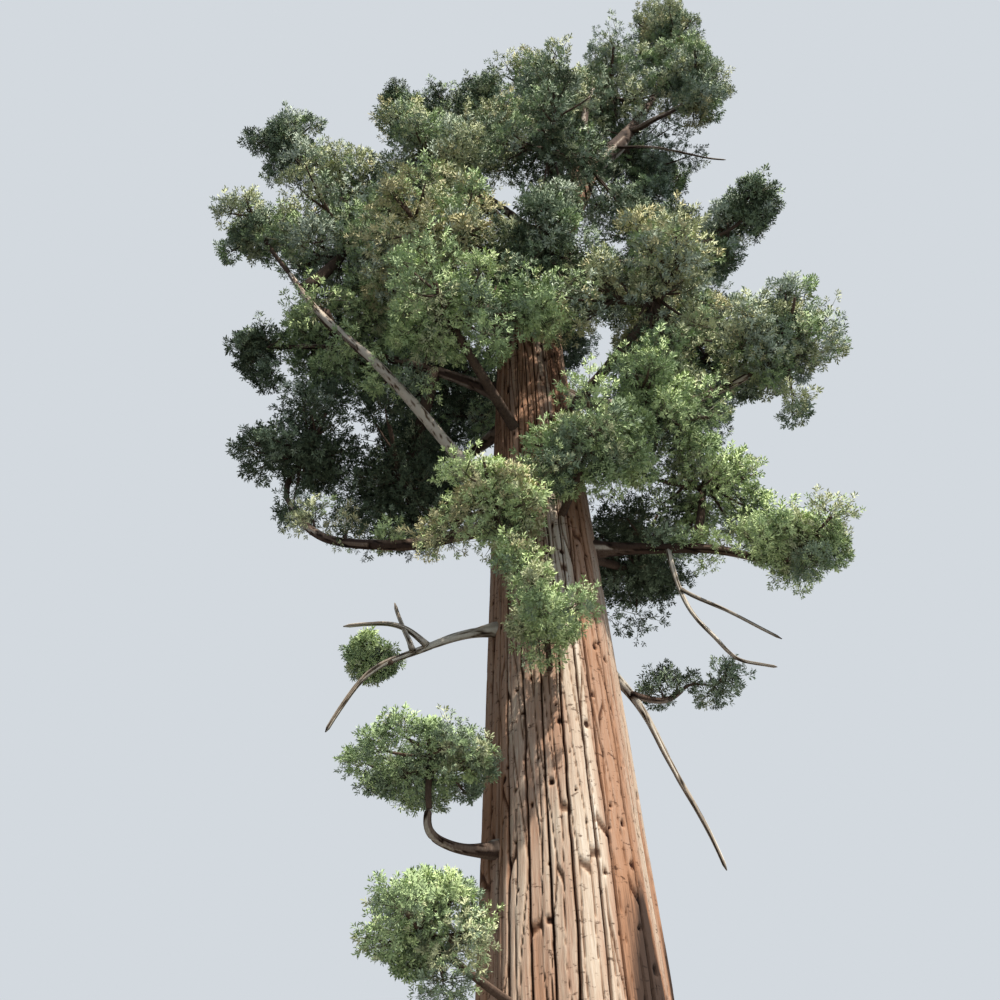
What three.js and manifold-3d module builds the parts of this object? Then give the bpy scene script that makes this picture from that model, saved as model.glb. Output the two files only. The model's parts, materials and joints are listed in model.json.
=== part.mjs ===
// Giant sequoia, cut flat at the ground: fluted trunk, boughs and foliage masses.
// Millimetres, +Z up, the origin in the middle of the flat cut. +X is to the right of the seen
// side, -Y faces the viewer. The tree stands at 40/72 of its real height.
import * as THREE from "three";
import Module from "manifold-3d";

const METRE = 1000;
const GAP = 0.3; // clearance between seated pieces
const TOP = 40 * METRE; // height of the highest spray
const SEED = 20261;

// Trunk: near-straight taper, a flare into the ground, and a crown shaft that bends to +X. The
// bark stands in long plates with a furrow between each two. Where a furrow runs and how wide it
// is are shares of a plate, its depth is a share of the trunk's radius.
const TRUNK = {
  baseRadius: 1.5 * METRE,
  taper: 0.0405,
  flare: 0.55 * METRE,
  flareHeight: 1.1 * METRE,
  bendFrom: 19.3 * METRE,
  bend: 0.034,
  bendPower: 1.9,
  flutes: 9,
  fluteDepth: 0.055,
  plates: 26,
  uneven: 0.4,
  sway: 0.1,
  swayTurn: 0.5, // radians for each metre of height
  shoulder: 0.13,
  furrowDepth: 0.068,
  heights: [0, 0.4, 1.2, 3, 5.5, 8.5, 11.5, 14.5, 17.5, 19.5, 21.4, 23.2, 25, 26.7, 28.3],
};
const LIMB_TAPER = 0.8; // power of the share of its length by which a limb thins

// Limbs: parent, height on the trunk (m) or share of the parent limb, bend point, tip (m),
// radius at the root and at the tip (m), wood.
const LIMBS = {
  limb_spire: ["trunk", 28.0, [4.2, 0.5, 31.2], [5.1, 0.9, 35.9], 0.17, 0.07, "bark"],
  limb_right_tip: ["limb_spire", 0.3, [4.3, -0.4, 29.6], [5.2, -0.1, 31.0], 0.1, 0.05, "bark"],
  limb_crest: ["trunk", 26.9, [2.0, -1.0, 29.8], [2.4, 0.1, 32.5], 0.15, 0.06, "bark"],
  limb_left_crest: ["trunk", 25.6, [0.8, -0.5, 28.6], [0.5, -0.6, 30.2], 0.15, 0.06, "bark"],
  limb_left_tip: ["trunk", 24.2, [-1.2, 0.5, 27.9], [-1.7, 0.2, 31.2], 0.15, 0.06, "bark"],
  limb_plume: ["trunk", 21.4, [-3.4, -0.8, 22.8], [-5.6, -1.1, 27.3], 0.17, 0.06, "bark"],
  bough_left_big: ["trunk", 14.2, [-2.9, -2.6, 16.4], [-5.2, -1.3, 21.8], 0.15, 0.06, "bark"],
  bough_dark_tip: ["trunk", 18.0, [-3.2, 0.4, 21.2], [-5.2, -0.1, 20.7], 0.16, 0.06, "bark"],
  bough_left_mid: ["trunk", 14.8, [-3.2, -2.4, 11.6], [-4.9, 0.4, 16.1], 0.14, 0.06, "bark"],
  dead_left: ["trunk", 12.3, [-2.4, -1.6, 11.4], [-3.2, -1.6, 9.5], 0.1, 0.03, "dead_wood"],
  bough_right_big: ["trunk", 14.1, [2.4, 0.0, 14.0], [3.7, -0.2, 13.3], 0.14, 0.07, "bark"],
  dead_hang: ["bough_right_big", 0.52, [2.3, -0.3, 11.0], [3.5, -0.4, 10.9], 0.05, 0.025, "dead_wood"],
  bough_right_low: ["trunk", 12.6, [1.8, 0.9, 11.4], [2.3, 0.5, 8.1], 0.1, 0.03, "dead_wood"],
  twig_right_low: ["bough_right_low", 0.42, [1.9, 1.0, 11.2], [2.2, 1.0, 11.6], 0.07, 0.04, "bark"],
  bough_right_thin: ["trunk", 23.4, [2.9, 0.2, 22.8], [4.5, -0.4, 23.1], 0.12, 0.05, "bark"],
  bough_right_up: ["trunk", 18.5, [2.6, 0.7, 17.9], [4.5, 0.1, 18.6], 0.16, 0.07, "bark"],
  bough_low: ["trunk", 8.6, [-1.8, -1.6, 7.3], [-1.7, -1.6, 8.2], 0.1, 0.05, "bark"],
  bough_back_left: ["trunk", 18.4, [-1.4, 2.2, 18.6], [-2.1, 2.9, 20.0], 0.19, 0.09, "bark"],
  bough_back_mid: ["trunk", 21.6, [0.2, 2.4, 22.4], [0.4, 3.4, 24.7], 0.18, 0.09, "bark"],
  bough_back_up: ["trunk", 23.4, [-1.8, 1.7, 24.0], [-3.2, 2.6, 25.7], 0.17, 0.08, "bark"],
};
// Bare side twigs: share of their limb, bend point, tip (m), radii (m).
const SIDE_TWIGS = {
  dead_left: [
    [0.52, [-2.2, -1.2, 11.3], [-2.4, -1.2, 12.1], 0.06, 0.03],
    [0.46, [-2.2, -1.3, 11.7], [-3.2, -1.2, 11.7], 0.06, 0.03],
  ],
  dead_hang: [[0.2, [2.9, 0.1, 12.6], [3.8, 0.1, 11.8], 0.04, 0.025]],
  limb_spire: [[0.14, [4.4, 0.1, 28.2], [5.5, 0, 27.4], 0.05, 0.02]],
};

// Foliage masses: limb, height on the trunk (m) or share of the limb, middle (m),
// half-width and half-height (m), number of lumps, colour.
const MASSES = {
  top_spire: ["limb_spire", 1, [5.2, 0.9, 36.9], 1.3, 2.9, 4, "leaf_olive"],
  top_right: ["limb_right_tip", 1, [5.3, -0.2, 31.5], 1.2, 1.9, 4, "leaf_olive"],
  top_crest: ["limb_crest", 1, [2.9, 0.5, 32.8], 1.75, 2.3, 4, "leaf_olive"],
  top_left_crest: ["limb_left_crest", 1, [0.7, -0.7, 30.1], 1.7, 2.1, 4, "leaf_olive"],
  top_left_tip: ["limb_left_tip", 1, [-1.6, 0.2, 31.3], 1.55, 2.1, 4, "leaf_dark"],
  knob_left: ["limb_left_tip", 0.8, [-3.5, 0.2, 33.0], 0.7, 0.75, 3, "leaf_dark"],
  top_heart_right: ["limb_spire", 0.2, [3.5, 1.6, 30.5], 1.7, 2.4, 4, "leaf_dark"],
  top_heart_left: ["trunk", 25.0, [0.9, -1.9, 25.2], 1.8, 2.2, 4, "leaf_dark"],
  shoulder_left: ["trunk", 23.4, [-1.7, -1.6, 25.6], 2.0, 2.4, 4, "leaf_olive"],
  front_heart: ["trunk", 20.4, [0.5, -1.75, 20.8], 1.4, 1.7, 4, "leaf_dark"],
  plume_left: ["limb_plume", 1, [-6.1, -1.2, 28.1], 1.0, 1.05, 4, "leaf_dark"],
  arm_left_up: ["limb_plume", 0.75, [-4.2, -0.6, 26.2], 1.6, 1.6, 4, "leaf_olive"],
  tip_left: ["bough_left_big", 1, [-6.2, -1.2, 24.0], 1.1, 0.9, 4, "leaf_olive"],
  fan_left: ["bough_left_big", 0.9, [-4.0, -1.1, 23.0], 2.0, 1.8, 4, "leaf_olive"],
  gold_left: ["trunk", 19.3, [-1.8, -2.3, 20.8], 1.7, 1.8, 4, "leaf_gold"],
  under_left: ["bough_left_big", 0.78, [-4.2, 0.2, 21.3], 1.8, 1.5, 4, "leaf_green"],
  green_left: ["trunk", 16.4, [-1.4, -2.7, 17.6], 1.5, 1.5, 4, "leaf_green"],
  dark_tip: ["bough_dark_tip", 1, [-6.0, -0.2, 20.5], 0.75, 0.5, 3, "leaf_dark"],
  dark_left_out: ["bough_left_mid", 1, [-4.9, 0.8, 18.0], 1.5, 1.9, 4, "leaf_dark"],
  dark_left_in: ["bough_dark_tip", 0.35, [-3.0, 1.9, 17.8], 1.9, 2.2, 4, "leaf_dark"],
  front_left: ["trunk", 12.6, [-0.7, -2.3, 13.0], 1.05, 1.0, 4, "leaf_green"],
  front_right: ["trunk", 14.0, [0.9, -1.9, 14.5], 1.15, 1.05, 4, "leaf_green"],
  front_low: ["trunk", 10.6, [0.0, -2.1, 10.9], 0.8, 0.6, 3, "leaf_green"],
  right_green: ["trunk", 15.2, [2.2, -1.2, 16.0], 1.45, 1.5, 4, "leaf_green"],
  right_olive: ["trunk", 16.8, [2.6, -1.8, 18.7], 1.75, 1.8, 4, "leaf_gold"],
  right_thin: ["bough_right_thin", 1, [5.3, -0.6, 23.7], 0.95, 0.9, 4, "leaf_dark"],
  right_out: ["bough_right_up", 1, [5.3, -0.1, 19.1], 1.4, 2.0, 4, "leaf_olive"],
  right_heart: ["bough_right_up", 0.55, [3.7, 1.7, 20.8], 2.0, 2.3, 4, "leaf_dark"],
  right_low: ["bough_right_big", 0.65, [3.1, 0.3, 15.6], 1.3, 1.15, 4, "leaf_green"],
  right_arm: ["bough_right_big", 1, [4.3, -0.3, 13.4], 1.1, 0.85, 4, "leaf_green"],
  right_shade: ["trunk", 14.4, [1.7, 2.2, 15.4], 1.45, 1.8, 4, "leaf_dark"],
  right_twig: ["twig_right_low", 1, [2.7, 1.0, 11.6], 0.42, 0.28, 3, "leaf_dark"],
  low_twig: ["dead_left", 0.62, [-2.8, -0.9, 11.2], 0.52, 0.38, 3, "leaf_green"],
  low_dome: ["bough_low", 1, [-1.7, -1.6, 8.8], 1.0, 0.42, 4, "leaf_green"],
  low_bush: ["trunk", 5.7, [-1.6, -2.3, 6.2], 0.85, 0.85, 4, "leaf_green"],
  back_left: ["bough_back_left", 1, [-2.2, 3.2, 21.8], 2.2, 2.6, 4, "leaf_dark"],
  back_mid: ["bough_back_mid", 1, [0.4, 3.4, 26.2], 2.3, 2.8, 4, "leaf_dark"],
  back_up: ["bough_back_up", 1, [-3.3, 2.5, 27.6], 2.2, 2.8, 4, "leaf_dark"],
  back_right: ["bough_right_thin", 0.6, [3.7, 1.7, 25.0], 1.8, 2.3, 4, "leaf_dark"],
};
const SQUASH = 1.2; // spaces are kept apart as if heights were this much greater
const SPACING = 6; // mm between neighbouring spaces
const NEIGHBOURS = 2.2; // masses bound each other within this many times their half-widths
// Radii, lengths and gaps below are shares of a mass's half-width.
const STEM = {
  root: 0.1,
  tip: 0.05,
  sides: 4,
  sag: 0.15,
  bendAt: 0.6, // share of the way where a stem from the side of its limb bends up
  ahead: 0.3, // share of the way that a stem runs on from the tip of its limb
  sunk: 0.5, // starts this many tip radii inside the limb
  thinner: 0.85, // and is thinner than the tip by this
};
const TWIG = { root: 0.05, tip: 0.03, sides: 3, reach: 0.96, clear: 0.08, pull: 0.12, tries: 12 };
const CORE = {
  least: 0.7,
  lump: 0.3,
  sharp: 3,
  flat: 0.7,
  uneven: 0.14,
  pull: 0.94,
  sides: 6,
  rings: [0.85, 0.12, -0.62],
};
const SPRAY = {
  length: 0.46,
  longer: 0.4, // the longest is longer by this share
  shortest: 0.3, // one that would need to be cut below this share is left out
  shrink: 0.8,
  width: 0.15,
  thick: 0.04,
  widestAt: 0.6,
  rootAt: 0.12, // of the twig, back from its end
  skin: 0.78, // a second spray starts at this share of the skin's distance
  aside: [0.35, 0.75], // how far the first and the second lean away from the lump's heading
};
const LEADER = { aside: 0.1, up: 0.3, lean: 0.15, width: 0.2, thick: 0.08 };

const COLOURS = {
  bark: "#a9683f",
  dead_wood: "#a79f92",
  leaf_dark: "#2c3d2a",
  leaf_green: "#5c7f3c",
  leaf_olive: "#59683a",
  leaf_gold: "#7d7b3c",
};

const wasm = await Module();
wasm.setup();

const vec = (a) => new THREE.Vector3(a[0], a[1], a[2]);
const metres = (a) => vec(a).multiplyScalar(METRE);

// The same seed always grows the same tree.
function dice(seed) {
  let a = seed >>> 0;
  return () => {
    a = (a + 0x6d2b79f5) >>> 0;
    let t = Math.imul(a ^ (a >>> 15), 1 | a);
    t = (t + Math.imul(t ^ (t >>> 7), 61 | t)) ^ t;
    return ((t ^ (t >>> 14)) >>> 0) / 4294967296;
  };
}

function solid(points, faces) {
  return new wasm.Manifold(
    new wasm.Mesh({
      numProp: 3,
      vertProperties: new Float32Array(points.flatMap((p) => [p.x, p.y, p.z])),
      triVerts: new Uint32Array(faces.flat()),
    }),
  );
}

// A closed tube through the points of a path, its flat ends closed from their middles.
// section(i, k) gives the angle and the radius of corner k at point i.
const evenly = (k, sides) => (2 * Math.PI * k) / sides;

function tube(path, section, sides) {
  const points = [];
  const faces = [];
  let across = Math.abs(path[1].clone().sub(path[0]).normalize().x) > 0.9 ? vec([0, 1, 0]) : vec([1, 0, 0]);
  path.forEach((p, i) => {
    const before = path[Math.max(i - 1, 0)];
    const after = path[Math.min(i + 1, path.length - 1)];
    const along = i === 0 ? path[1].clone().sub(p) : after.clone().sub(before);
    along.normalize();
    across = across.clone().addScaledVector(along, -across.dot(along)).normalize();
    const up = along.clone().cross(across);
    for (let k = 0; k < sides; k++) {
      const [turn, r] = section(i, k);
      const point = p.clone().addScaledVector(across, r * Math.cos(turn));
      points.push(point.addScaledVector(up, r * Math.sin(turn)));
    }
  });
  const last = path.length - 1;
  for (let i = 0; i < last; i++) {
    for (let k = 0; k < sides; k++) {
      const [a, b] = [i * sides + k, i * sides + ((k + 1) % sides)];
      faces.push([a, b, b + sides], [a, b + sides, a + sides]);
    }
  }
  points.push(path[0], path[last]);
  for (let k = 0; k < sides; k++) {
    const next = (k + 1) % sides;
    faces.push([points.length - 2, next, k], [points.length - 1, last * sides + k, last * sides + next]);
  }
  return solid(points, faces);
}

const curve = (a, b, c) => (t) =>
  a.clone().multiplyScalar((1 - t) ** 2).addScaledVector(b, 2 * t * (1 - t)).addScaledVector(c, t * t);

// The path with both its ends drawn out by a length.
function stretched(path, by) {
  const [head, tail] = [path[0].clone().sub(path[1]), path.at(-1).clone().sub(path.at(-2))];
  path[0].addScaledVector(head.normalize(), by);
  path.at(-1).addScaledVector(tail.normalize(), by);
  return path;
}

// A round limb along a curve; grow makes it thicker all round.
function limb(line, thickRoot, thickTip, sides, steps, grow = 0) {
  const path = stretched(Array.from({ length: steps + 1 }, (_, i) => line(i / steps)), grow);
  const wider = grow / Math.cos(Math.PI / sides);
  const thick = (i) => thickRoot + (thickTip - thickRoot) * (i / steps) ** LIMB_TAPER + wider;
  return tube(path, (i, k) => [evenly(k, sides), thick(i)], sides);
}

function trunkAxis(height) {
  const over = Math.max(0, height - TRUNK.bendFrom) / METRE;
  return vec([TRUNK.bend * over ** TRUNK.bendPower * METRE, 0, height]);
}

function trunkRadius(height) {
  return TRUNK.baseRadius - TRUNK.taper * height + TRUNK.flare * Math.exp(-height / TRUNK.flareHeight);
}

// Nine shallow flutes, strongest at the foot, as a share of the radius.
function fluting(turn, height) {
  const deep = TRUNK.fluteDepth * (0.25 + 1.2 * Math.exp(-height / (3 * METRE)));
  return deep * Math.cos(TRUNK.flutes * turn + 0.9 * Math.sin(2 * turn));
}

// The furrows: each starts a little off its even place, drifts as it climbs, and has its own depth.
const roll = dice(SEED);
const furrows = Array.from({ length: TRUNK.plates }, (_, k) => ({
  start: k + TRUNK.uneven * (roll() - 0.5),
  phase: 2 * Math.PI * roll(),
  depth: TRUNK.furrowDepth * (0.75 + 0.5 * roll()),
}));
function furrowPlace(k, height) {
  const { start, phase } = furrows[k % TRUNK.plates];
  const lap = k < TRUNK.plates ? 0 : TRUNK.plates;
  return start + lap + TRUNK.sway * Math.sin((TRUNK.swayTurn * height) / METRE + phase);
}

// Each plate has its two shoulders for corners, and the floor of the furrow before it.
function trunk(grow = 0, furrowed = true) {
  const heights = TRUNK.heights.map((h) => h * METRE);
  const path = stretched(heights.map(trunkAxis), grow);
  const corners = furrowed ? 3 : 2;
  const sides = corners * TRUNK.plates;
  const wider = grow / Math.cos(Math.PI / sides);
  const section = (i, corner) => {
    const k = Math.floor(corner / corners);
    const part = furrowed ? corner % corners : 1 + (corner % corners);
    const beside = [0, TRUNK.shoulder, -TRUNK.shoulder][part];
    const place = furrowPlace(part === 2 ? k + 1 : k, heights[i]) + beside;
    const turn = evenly(place, TRUNK.plates);
    const cut = part === 0 ? furrows[k].depth : 0;
    return [turn, trunkRadius(heights[i]) * (1 + fluting(turn, heights[i]) - cut) + wider];
  };
  return tube(path, section, sides);
}

// Limbs, each with the curve it follows, its shape, and its shape grown by the clearance.
const lines = {};
function rootOf(parent, where) {
  return parent === "trunk" ? trunkAxis(where * METRE) : lines[parent](where);
}
function parts(limbLine, name, grow) {
  const [, , , , root, tip] = LIMBS[name];
  let body = limb(limbLine, root * METRE, tip * METRE, 6, 6, grow);
  for (const [share, bend, end, thick, thin] of SIDE_TWIGS[name] ?? []) {
    const line = curve(limbLine(share), metres(bend), metres(end));
    body = body.add(limb(line, thick * METRE, thin * METRE, 4, 3, grow));
  }
  return body;
}

function largest(body) {
  const pieces = body.decompose();
  return pieces.reduce((best, piece) => (piece.volume() > best.volume() ? piece : best));
}

const trunkBody = trunk();
let taken = trunk(GAP, false); // everything woody so far, grown by the clearance
const bodies = { trunk: [trunkBody, "bark"] };
for (const [name, [parent, where, bend, tip, , , wood]] of Object.entries(LIMBS)) {
  const start = rootOf(parent, where);
  lines[name] = curve(start, metres(bend), metres(tip));
  bodies[name] = [largest(parts(lines[name], name, 0).subtract(taken)), wood];
  taken = taken.add(parts(lines[name], name, GAP));
}

// Each mass keeps to its own space: the planes halfway to its neighbours bound it.
const names = Object.keys(MASSES);
const spaces = names.map((name) => {
  const [, , middle, half] = MASSES[name];
  const centre = metres(middle);
  return { centre, size: half * METRE, seen: centre.clone().multiply(vec([1, 1, SQUASH])) };
});
function wallsOf(k) {
  const own = spaces[k];
  return spaces
    .filter((other, j) => j !== k && other.seen.distanceTo(own.seen) < NEIGHBOURS * (other.size + own.size))
    .map((other) => {
      const across = other.seen.clone().sub(own.seen);
      const apart = across.length();
      const share = 0.5 + (own.size ** 2 - other.size ** 2) / (2 * apart * apart);
      const normal = across.clone().divideScalar(apart).multiply(vec([1, 1, SQUASH]));
      const at = own.seen.dot(across.clone().divideScalar(apart)) + share * apart;
      const scale = normal.length();
      return [normal.divideScalar(scale), at / scale - SPACING / 2];
    });
}
const over = (walls, p) => Math.max(...walls.map(([n, d]) => n.dot(p) - d), p.z - TOP);

const heading = (turn, lift) =>
  vec([Math.cos(turn) * Math.cos(lift), Math.sin(turn) * Math.cos(lift), Math.sin(lift)]);

// The core of a mass: one lumpy body around the heart, flatter below, drawn in where a wall
// would cut it. A lump swells along each of the given headings.
const swell = (way, headings) =>
  CORE.least + CORE.lump * Math.max(...headings.map((h) => Math.max(0, h.dot(way)) ** CORE.sharp));

function core(heart, wide, tall, headings, walls, rnd) {
  const shape = [vec([0, 0, 1])];
  CORE.rings.forEach((lift, ring) => {
    for (let k = 0; k < CORE.sides; k++) shape.push(heading(evenly(k + 0.5 * ring, CORE.sides), lift));
  });
  shape.push(vec([0, 0, -1]));
  const corners = shape.map((place) => {
    const out = place.clone().multiplyScalar(swell(place, headings) * (1 + CORE.uneven * (rnd() - 0.5)));
    out.multiply(vec([wide, wide, place.z < 0 ? tall * CORE.flat : tall]));
    let pull = 1;
    while (over(walls, heart.clone().addScaledVector(out, pull)) > 0 && pull > 0.05) pull *= CORE.pull;
    return heart.clone().addScaledVector(out, pull);
  });
  const faces = [];
  const last = corners.length - 1;
  for (let k = 0; k < CORE.sides; k++) {
    const next = (k + 1) % CORE.sides;
    faces.push([0, 1 + k, 1 + next]);
    for (let ring = 0; ring < CORE.rings.length - 1; ring++) {
      const [a, b] = [1 + ring * CORE.sides + k, 1 + ring * CORE.sides + next];
      const [c, d] = [a + CORE.sides, b + CORE.sides];
      const shift = ring % 2 === 0;
      faces.push([a, c, shift ? b : d], shift ? [b, c, d] : [a, d, b]);
    }
    faces.push([last, last - CORE.sides + next, last - CORE.sides + k]);
  }
  return solid(corners, faces);
}

// A spray: a pointed blade of eight faces, its root inside the clump.
function spray(root, along, length, wide, thick) {
  const side = along.clone().cross(vec([0, 0, 1])).normalize();
  const up = side.clone().cross(along).normalize();
  const middle = root.clone().addScaledVector(along, SPRAY.widestAt * length);
  return [
    root,
    middle.clone().addScaledVector(side, wide),
    root.clone().addScaledVector(along, length),
    middle.clone().addScaledVector(side, -wide),
    middle.clone().addScaledVector(up, thick),
    middle.clone().addScaledVector(up, -thick),
  ];
}
const SPRAY_FACES = [
  [0, 1, 4], [1, 2, 4], [2, 3, 4], [3, 0, 4],
  [1, 0, 5], [2, 1, 5], [3, 2, 5], [0, 3, 5],
];

function stemOf(name, grow = 0) {
  const [parent, where, middle, half] = MASSES[name];
  const heart = metres(middle);
  const start = rootOf(parent, where);
  const size = half * METRE;
  if (where === 1) {
    const tip = LIMBS[parent][5] * METRE;
    const ahead = start.clone().sub(lines[parent](5 / 6)).normalize();
    const bend = start.clone().addScaledVector(ahead, STEM.ahead * start.distanceTo(heart));
    start.addScaledVector(ahead, -STEM.sunk * tip);
    return limb(curve(start, bend, heart), STEM.thinner * tip, STEM.tip * size, STEM.sides, 2, grow);
  }
  const bend = start.clone().lerp(heart, STEM.bendAt).add(vec([0, 0, -STEM.sag * size]));
  return limb(curve(start, bend, heart), STEM.root * size, STEM.tip * size, STEM.sides, 3, grow);
}

// One lump heads up, the others are spread round the mass.
function lumpHeadings(lumps, rnd) {
  const first = 2 * Math.PI * rnd();
  const round = (c) => heading(first + evenly(c + 0.4 * rnd(), lumps - 1), 0.5 * rnd());
  return [...Array.from({ length: lumps - 1 }, (_, c) => round(c)), heading(first, 1.3)];
}

function mass(name, k) {
  const [, , , half, high, lumps] = MASSES[name];
  const rnd = dice(SEED + 101 * k);
  const walls = wallsOf(k);
  const heart = spaces[k].centre;
  const [wide, tall] = [half * METRE, high * METRE];
  const scale = vec([wide, wide, tall]);
  const headings = lumpHeadings(lumps, rnd);
  const outTo = (way, share) =>
    way.clone().multiply(scale).multiplyScalar(swell(way, headings) * share).add(heart);
  const grown = [core(heart, wide, tall, headings, walls, rnd)];
  headings.forEach((lump, c) => {
    // A twig runs out through the lump and ends in a spray; every other lump bears a second one.
    const twigEnd = outTo(lump, TWIG.reach);
    for (let tries = 0; tries < TWIG.tries && over(walls, twigEnd) > -TWIG.clear * wide; tries++) {
      twigEnd.lerp(heart, TWIG.pull);
    }
    const twig = curve(heart, heart.clone().lerp(twigEnd, 0.5), twigEnd);
    grown.push(limb(twig, TWIG.root * wide, TWIG.tip * wide, TWIG.sides, 1));
    for (let s = 0; s <= c % 2; s++) {
      const aside = heading(2 * Math.PI * rnd(), 0.9 * rnd()).multiplyScalar(SPRAY.aside[s]);
      const along = lump.clone().add(aside).normalize();
      const root = s === 0 ? twigEnd.clone().lerp(heart, SPRAY.rootAt) : outTo(along, SPRAY.skin);
      let length = SPRAY.length * wide * (1 + SPRAY.longer * rnd());
      for (; length > SPRAY.shortest * SPRAY.length * wide; length *= SPRAY.shrink) {
        const points = spray(root, along, length, SPRAY.width * wide, SPRAY.thick * wide);
        if (points.every((p) => over(walls, p) <= 0)) {
          grown.push(solid(points, SPRAY_FACES));
          break;
        }
      }
    }
  });
  if (name === "top_spire") {
    // The leading spray carries the top of the tree.
    const root = heart.clone().add(vec([LEADER.aside * wide, 0, LEADER.up * tall]));
    const along = vec([LEADER.lean, 0, 1]).normalize();
    const length = (TOP - root.z) / along.z;
    grown.push(solid(spray(root, along, length, LEADER.width * wide, LEADER.thick * wide), SPRAY_FACES));
  }
  return wasm.Manifold.union(grown);
}

const stems = names.map((name) => stemOf(name));
const widerStems = names.map((name) => stemOf(name, GAP));
names.forEach((name, k) => {
  const others = widerStems.filter((_, j) => j !== k);
  const body = mass(name, k).add(stems[k]).subtract(wasm.Manifold.union([taken, ...others]));
  bodies[name] = [largest(body), MASSES[name][6]];
});

const tree = new THREE.Group();
tree.name = "giant_sequoia";
for (const [name, [body, colour]] of Object.entries(bodies)) {
  const { numProp, vertProperties, triVerts } = body.getMesh();
  const geometry = new THREE.BufferGeometry();
  const place = new Float32Array((vertProperties.length / numProp) * 3);
  for (let i = 0; i < place.length / 3; i++) {
    place.set(vertProperties.slice(i * numProp, i * numProp + 3), i * 3);
  }
  geometry.setAttribute("position", new THREE.BufferAttribute(place, 3));
  geometry.setIndex(new THREE.BufferAttribute(new Uint32Array(triVerts), 1));
  geometry.computeVertexNormals();
  const paint = new THREE.MeshStandardMaterial({ color: COLOURS[colour], roughness: 0.9 });
  const mesh = new THREE.Mesh(geometry, paint);
  mesh.name = name;
  tree.add(mesh);
}

export default tree;
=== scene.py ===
# %% [markdown]
# # A giant sequoia
# The real object is one of the tallest conifers: a fluted trunk under thick fibrous bark, a few
# heavy boughs high up, and foliage that sits in rounded clumps at the ends of the branches.
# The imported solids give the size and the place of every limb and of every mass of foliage. This
# lesson dresses them: first the camera and the light, then the bark, then the limbs, and last the
# twigs and leafy shoots, which follow the same growing rule as the solids but go on much finer.

# %% Load the solid tree
import json
import math

import bpy
import numpy as np
from mathutils import Matrix, Vector

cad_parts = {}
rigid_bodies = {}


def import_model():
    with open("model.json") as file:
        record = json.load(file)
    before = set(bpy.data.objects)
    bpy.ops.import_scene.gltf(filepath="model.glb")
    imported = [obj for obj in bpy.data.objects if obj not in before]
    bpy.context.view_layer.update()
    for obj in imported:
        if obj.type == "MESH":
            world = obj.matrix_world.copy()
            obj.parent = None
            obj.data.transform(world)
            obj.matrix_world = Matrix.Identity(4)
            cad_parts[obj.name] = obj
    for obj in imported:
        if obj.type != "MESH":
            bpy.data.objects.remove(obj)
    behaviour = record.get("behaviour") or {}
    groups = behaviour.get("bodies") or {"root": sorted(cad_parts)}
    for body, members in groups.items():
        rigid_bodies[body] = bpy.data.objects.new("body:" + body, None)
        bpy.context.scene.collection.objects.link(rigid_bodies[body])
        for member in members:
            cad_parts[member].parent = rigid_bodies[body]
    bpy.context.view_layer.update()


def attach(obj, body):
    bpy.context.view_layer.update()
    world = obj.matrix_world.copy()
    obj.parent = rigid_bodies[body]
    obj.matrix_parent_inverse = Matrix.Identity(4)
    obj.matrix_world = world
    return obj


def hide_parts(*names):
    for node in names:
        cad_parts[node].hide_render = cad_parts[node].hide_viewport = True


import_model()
SEED = 20261

# %% [markdown]
# ## Camera
# The tree is seen from near the ground, close to its foot, with the camera tipped far back. That
# is what makes the trunk so much wider at the bottom of the picture than its taper alone would.
# A camera is fixed by a place, three turns and a lens, so those are the values given here. The
# lens is stated in pixels of a 1000-pixel picture and turned into millimetres on a 36 mm sensor.

# %% Camera
PICTURE = 1000
SENSOR = 36.0
LENS_PIXELS = 1090
SIGHT = 400
EYE = Vector((0.27, -14.5, 0.9))
TIP_BACK, TURN_LEFT, LEAN = (math.radians(a) for a in (45.0, 4.0, -1.8))


def put(name, data):
    """A new object in the scene, at the origin."""
    made = bpy.data.objects.new(name, data)
    bpy.context.scene.collection.objects.link(made)
    return made


ahead = Vector((-math.sin(TURN_LEFT) * math.cos(TIP_BACK), math.cos(TURN_LEFT) * math.cos(TIP_BACK),
                math.sin(TIP_BACK)))
level = ahead.cross(Vector((0, 0, 1))).normalized()
over = level.cross(ahead)
rightward = level * math.cos(LEAN) + over * math.sin(LEAN)
upward = over * math.cos(LEAN) - level * math.sin(LEAN)

camera = put("camera", bpy.data.cameras.new("camera"))
camera.data.sensor_width = SENSOR
camera.data.lens = LENS_PIXELS * SENSOR / PICTURE
camera.data.clip_end = SIGHT
camera.matrix_world = Matrix((rightward, upward, -ahead)).transposed().to_4x4()
camera.matrix_world.translation = EYE
bpy.context.scene.camera = camera
bpy.context.scene.view_settings.view_transform = "Standard"
print("lens", round(camera.data.lens, 1), "mm")

# %% [markdown]
# ## Colour and node helpers
# Colours are read off as sRGB hex values, the way a paint chart gives them. Blender's shaders work
# in linear light, so one function turns the one into the other. A second small function adds a
# node, sets it and links it, so that a material reads from top to bottom like a recipe. Patterns
# take the object's own coordinates, which are metres here, so their scale is a true size.

# %% Colour and node helpers
def linear(hex_colour):
    """An sRGB hex colour as linear light."""
    parts = [int(hex_colour[i:i + 2], 16) / 255 for i in (1, 3, 5)]
    return tuple(p / 12.92 if p <= 0.04045 else ((p + 0.055) / 1.055) ** 2.4 for p in parts) + (1.0,)


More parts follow.
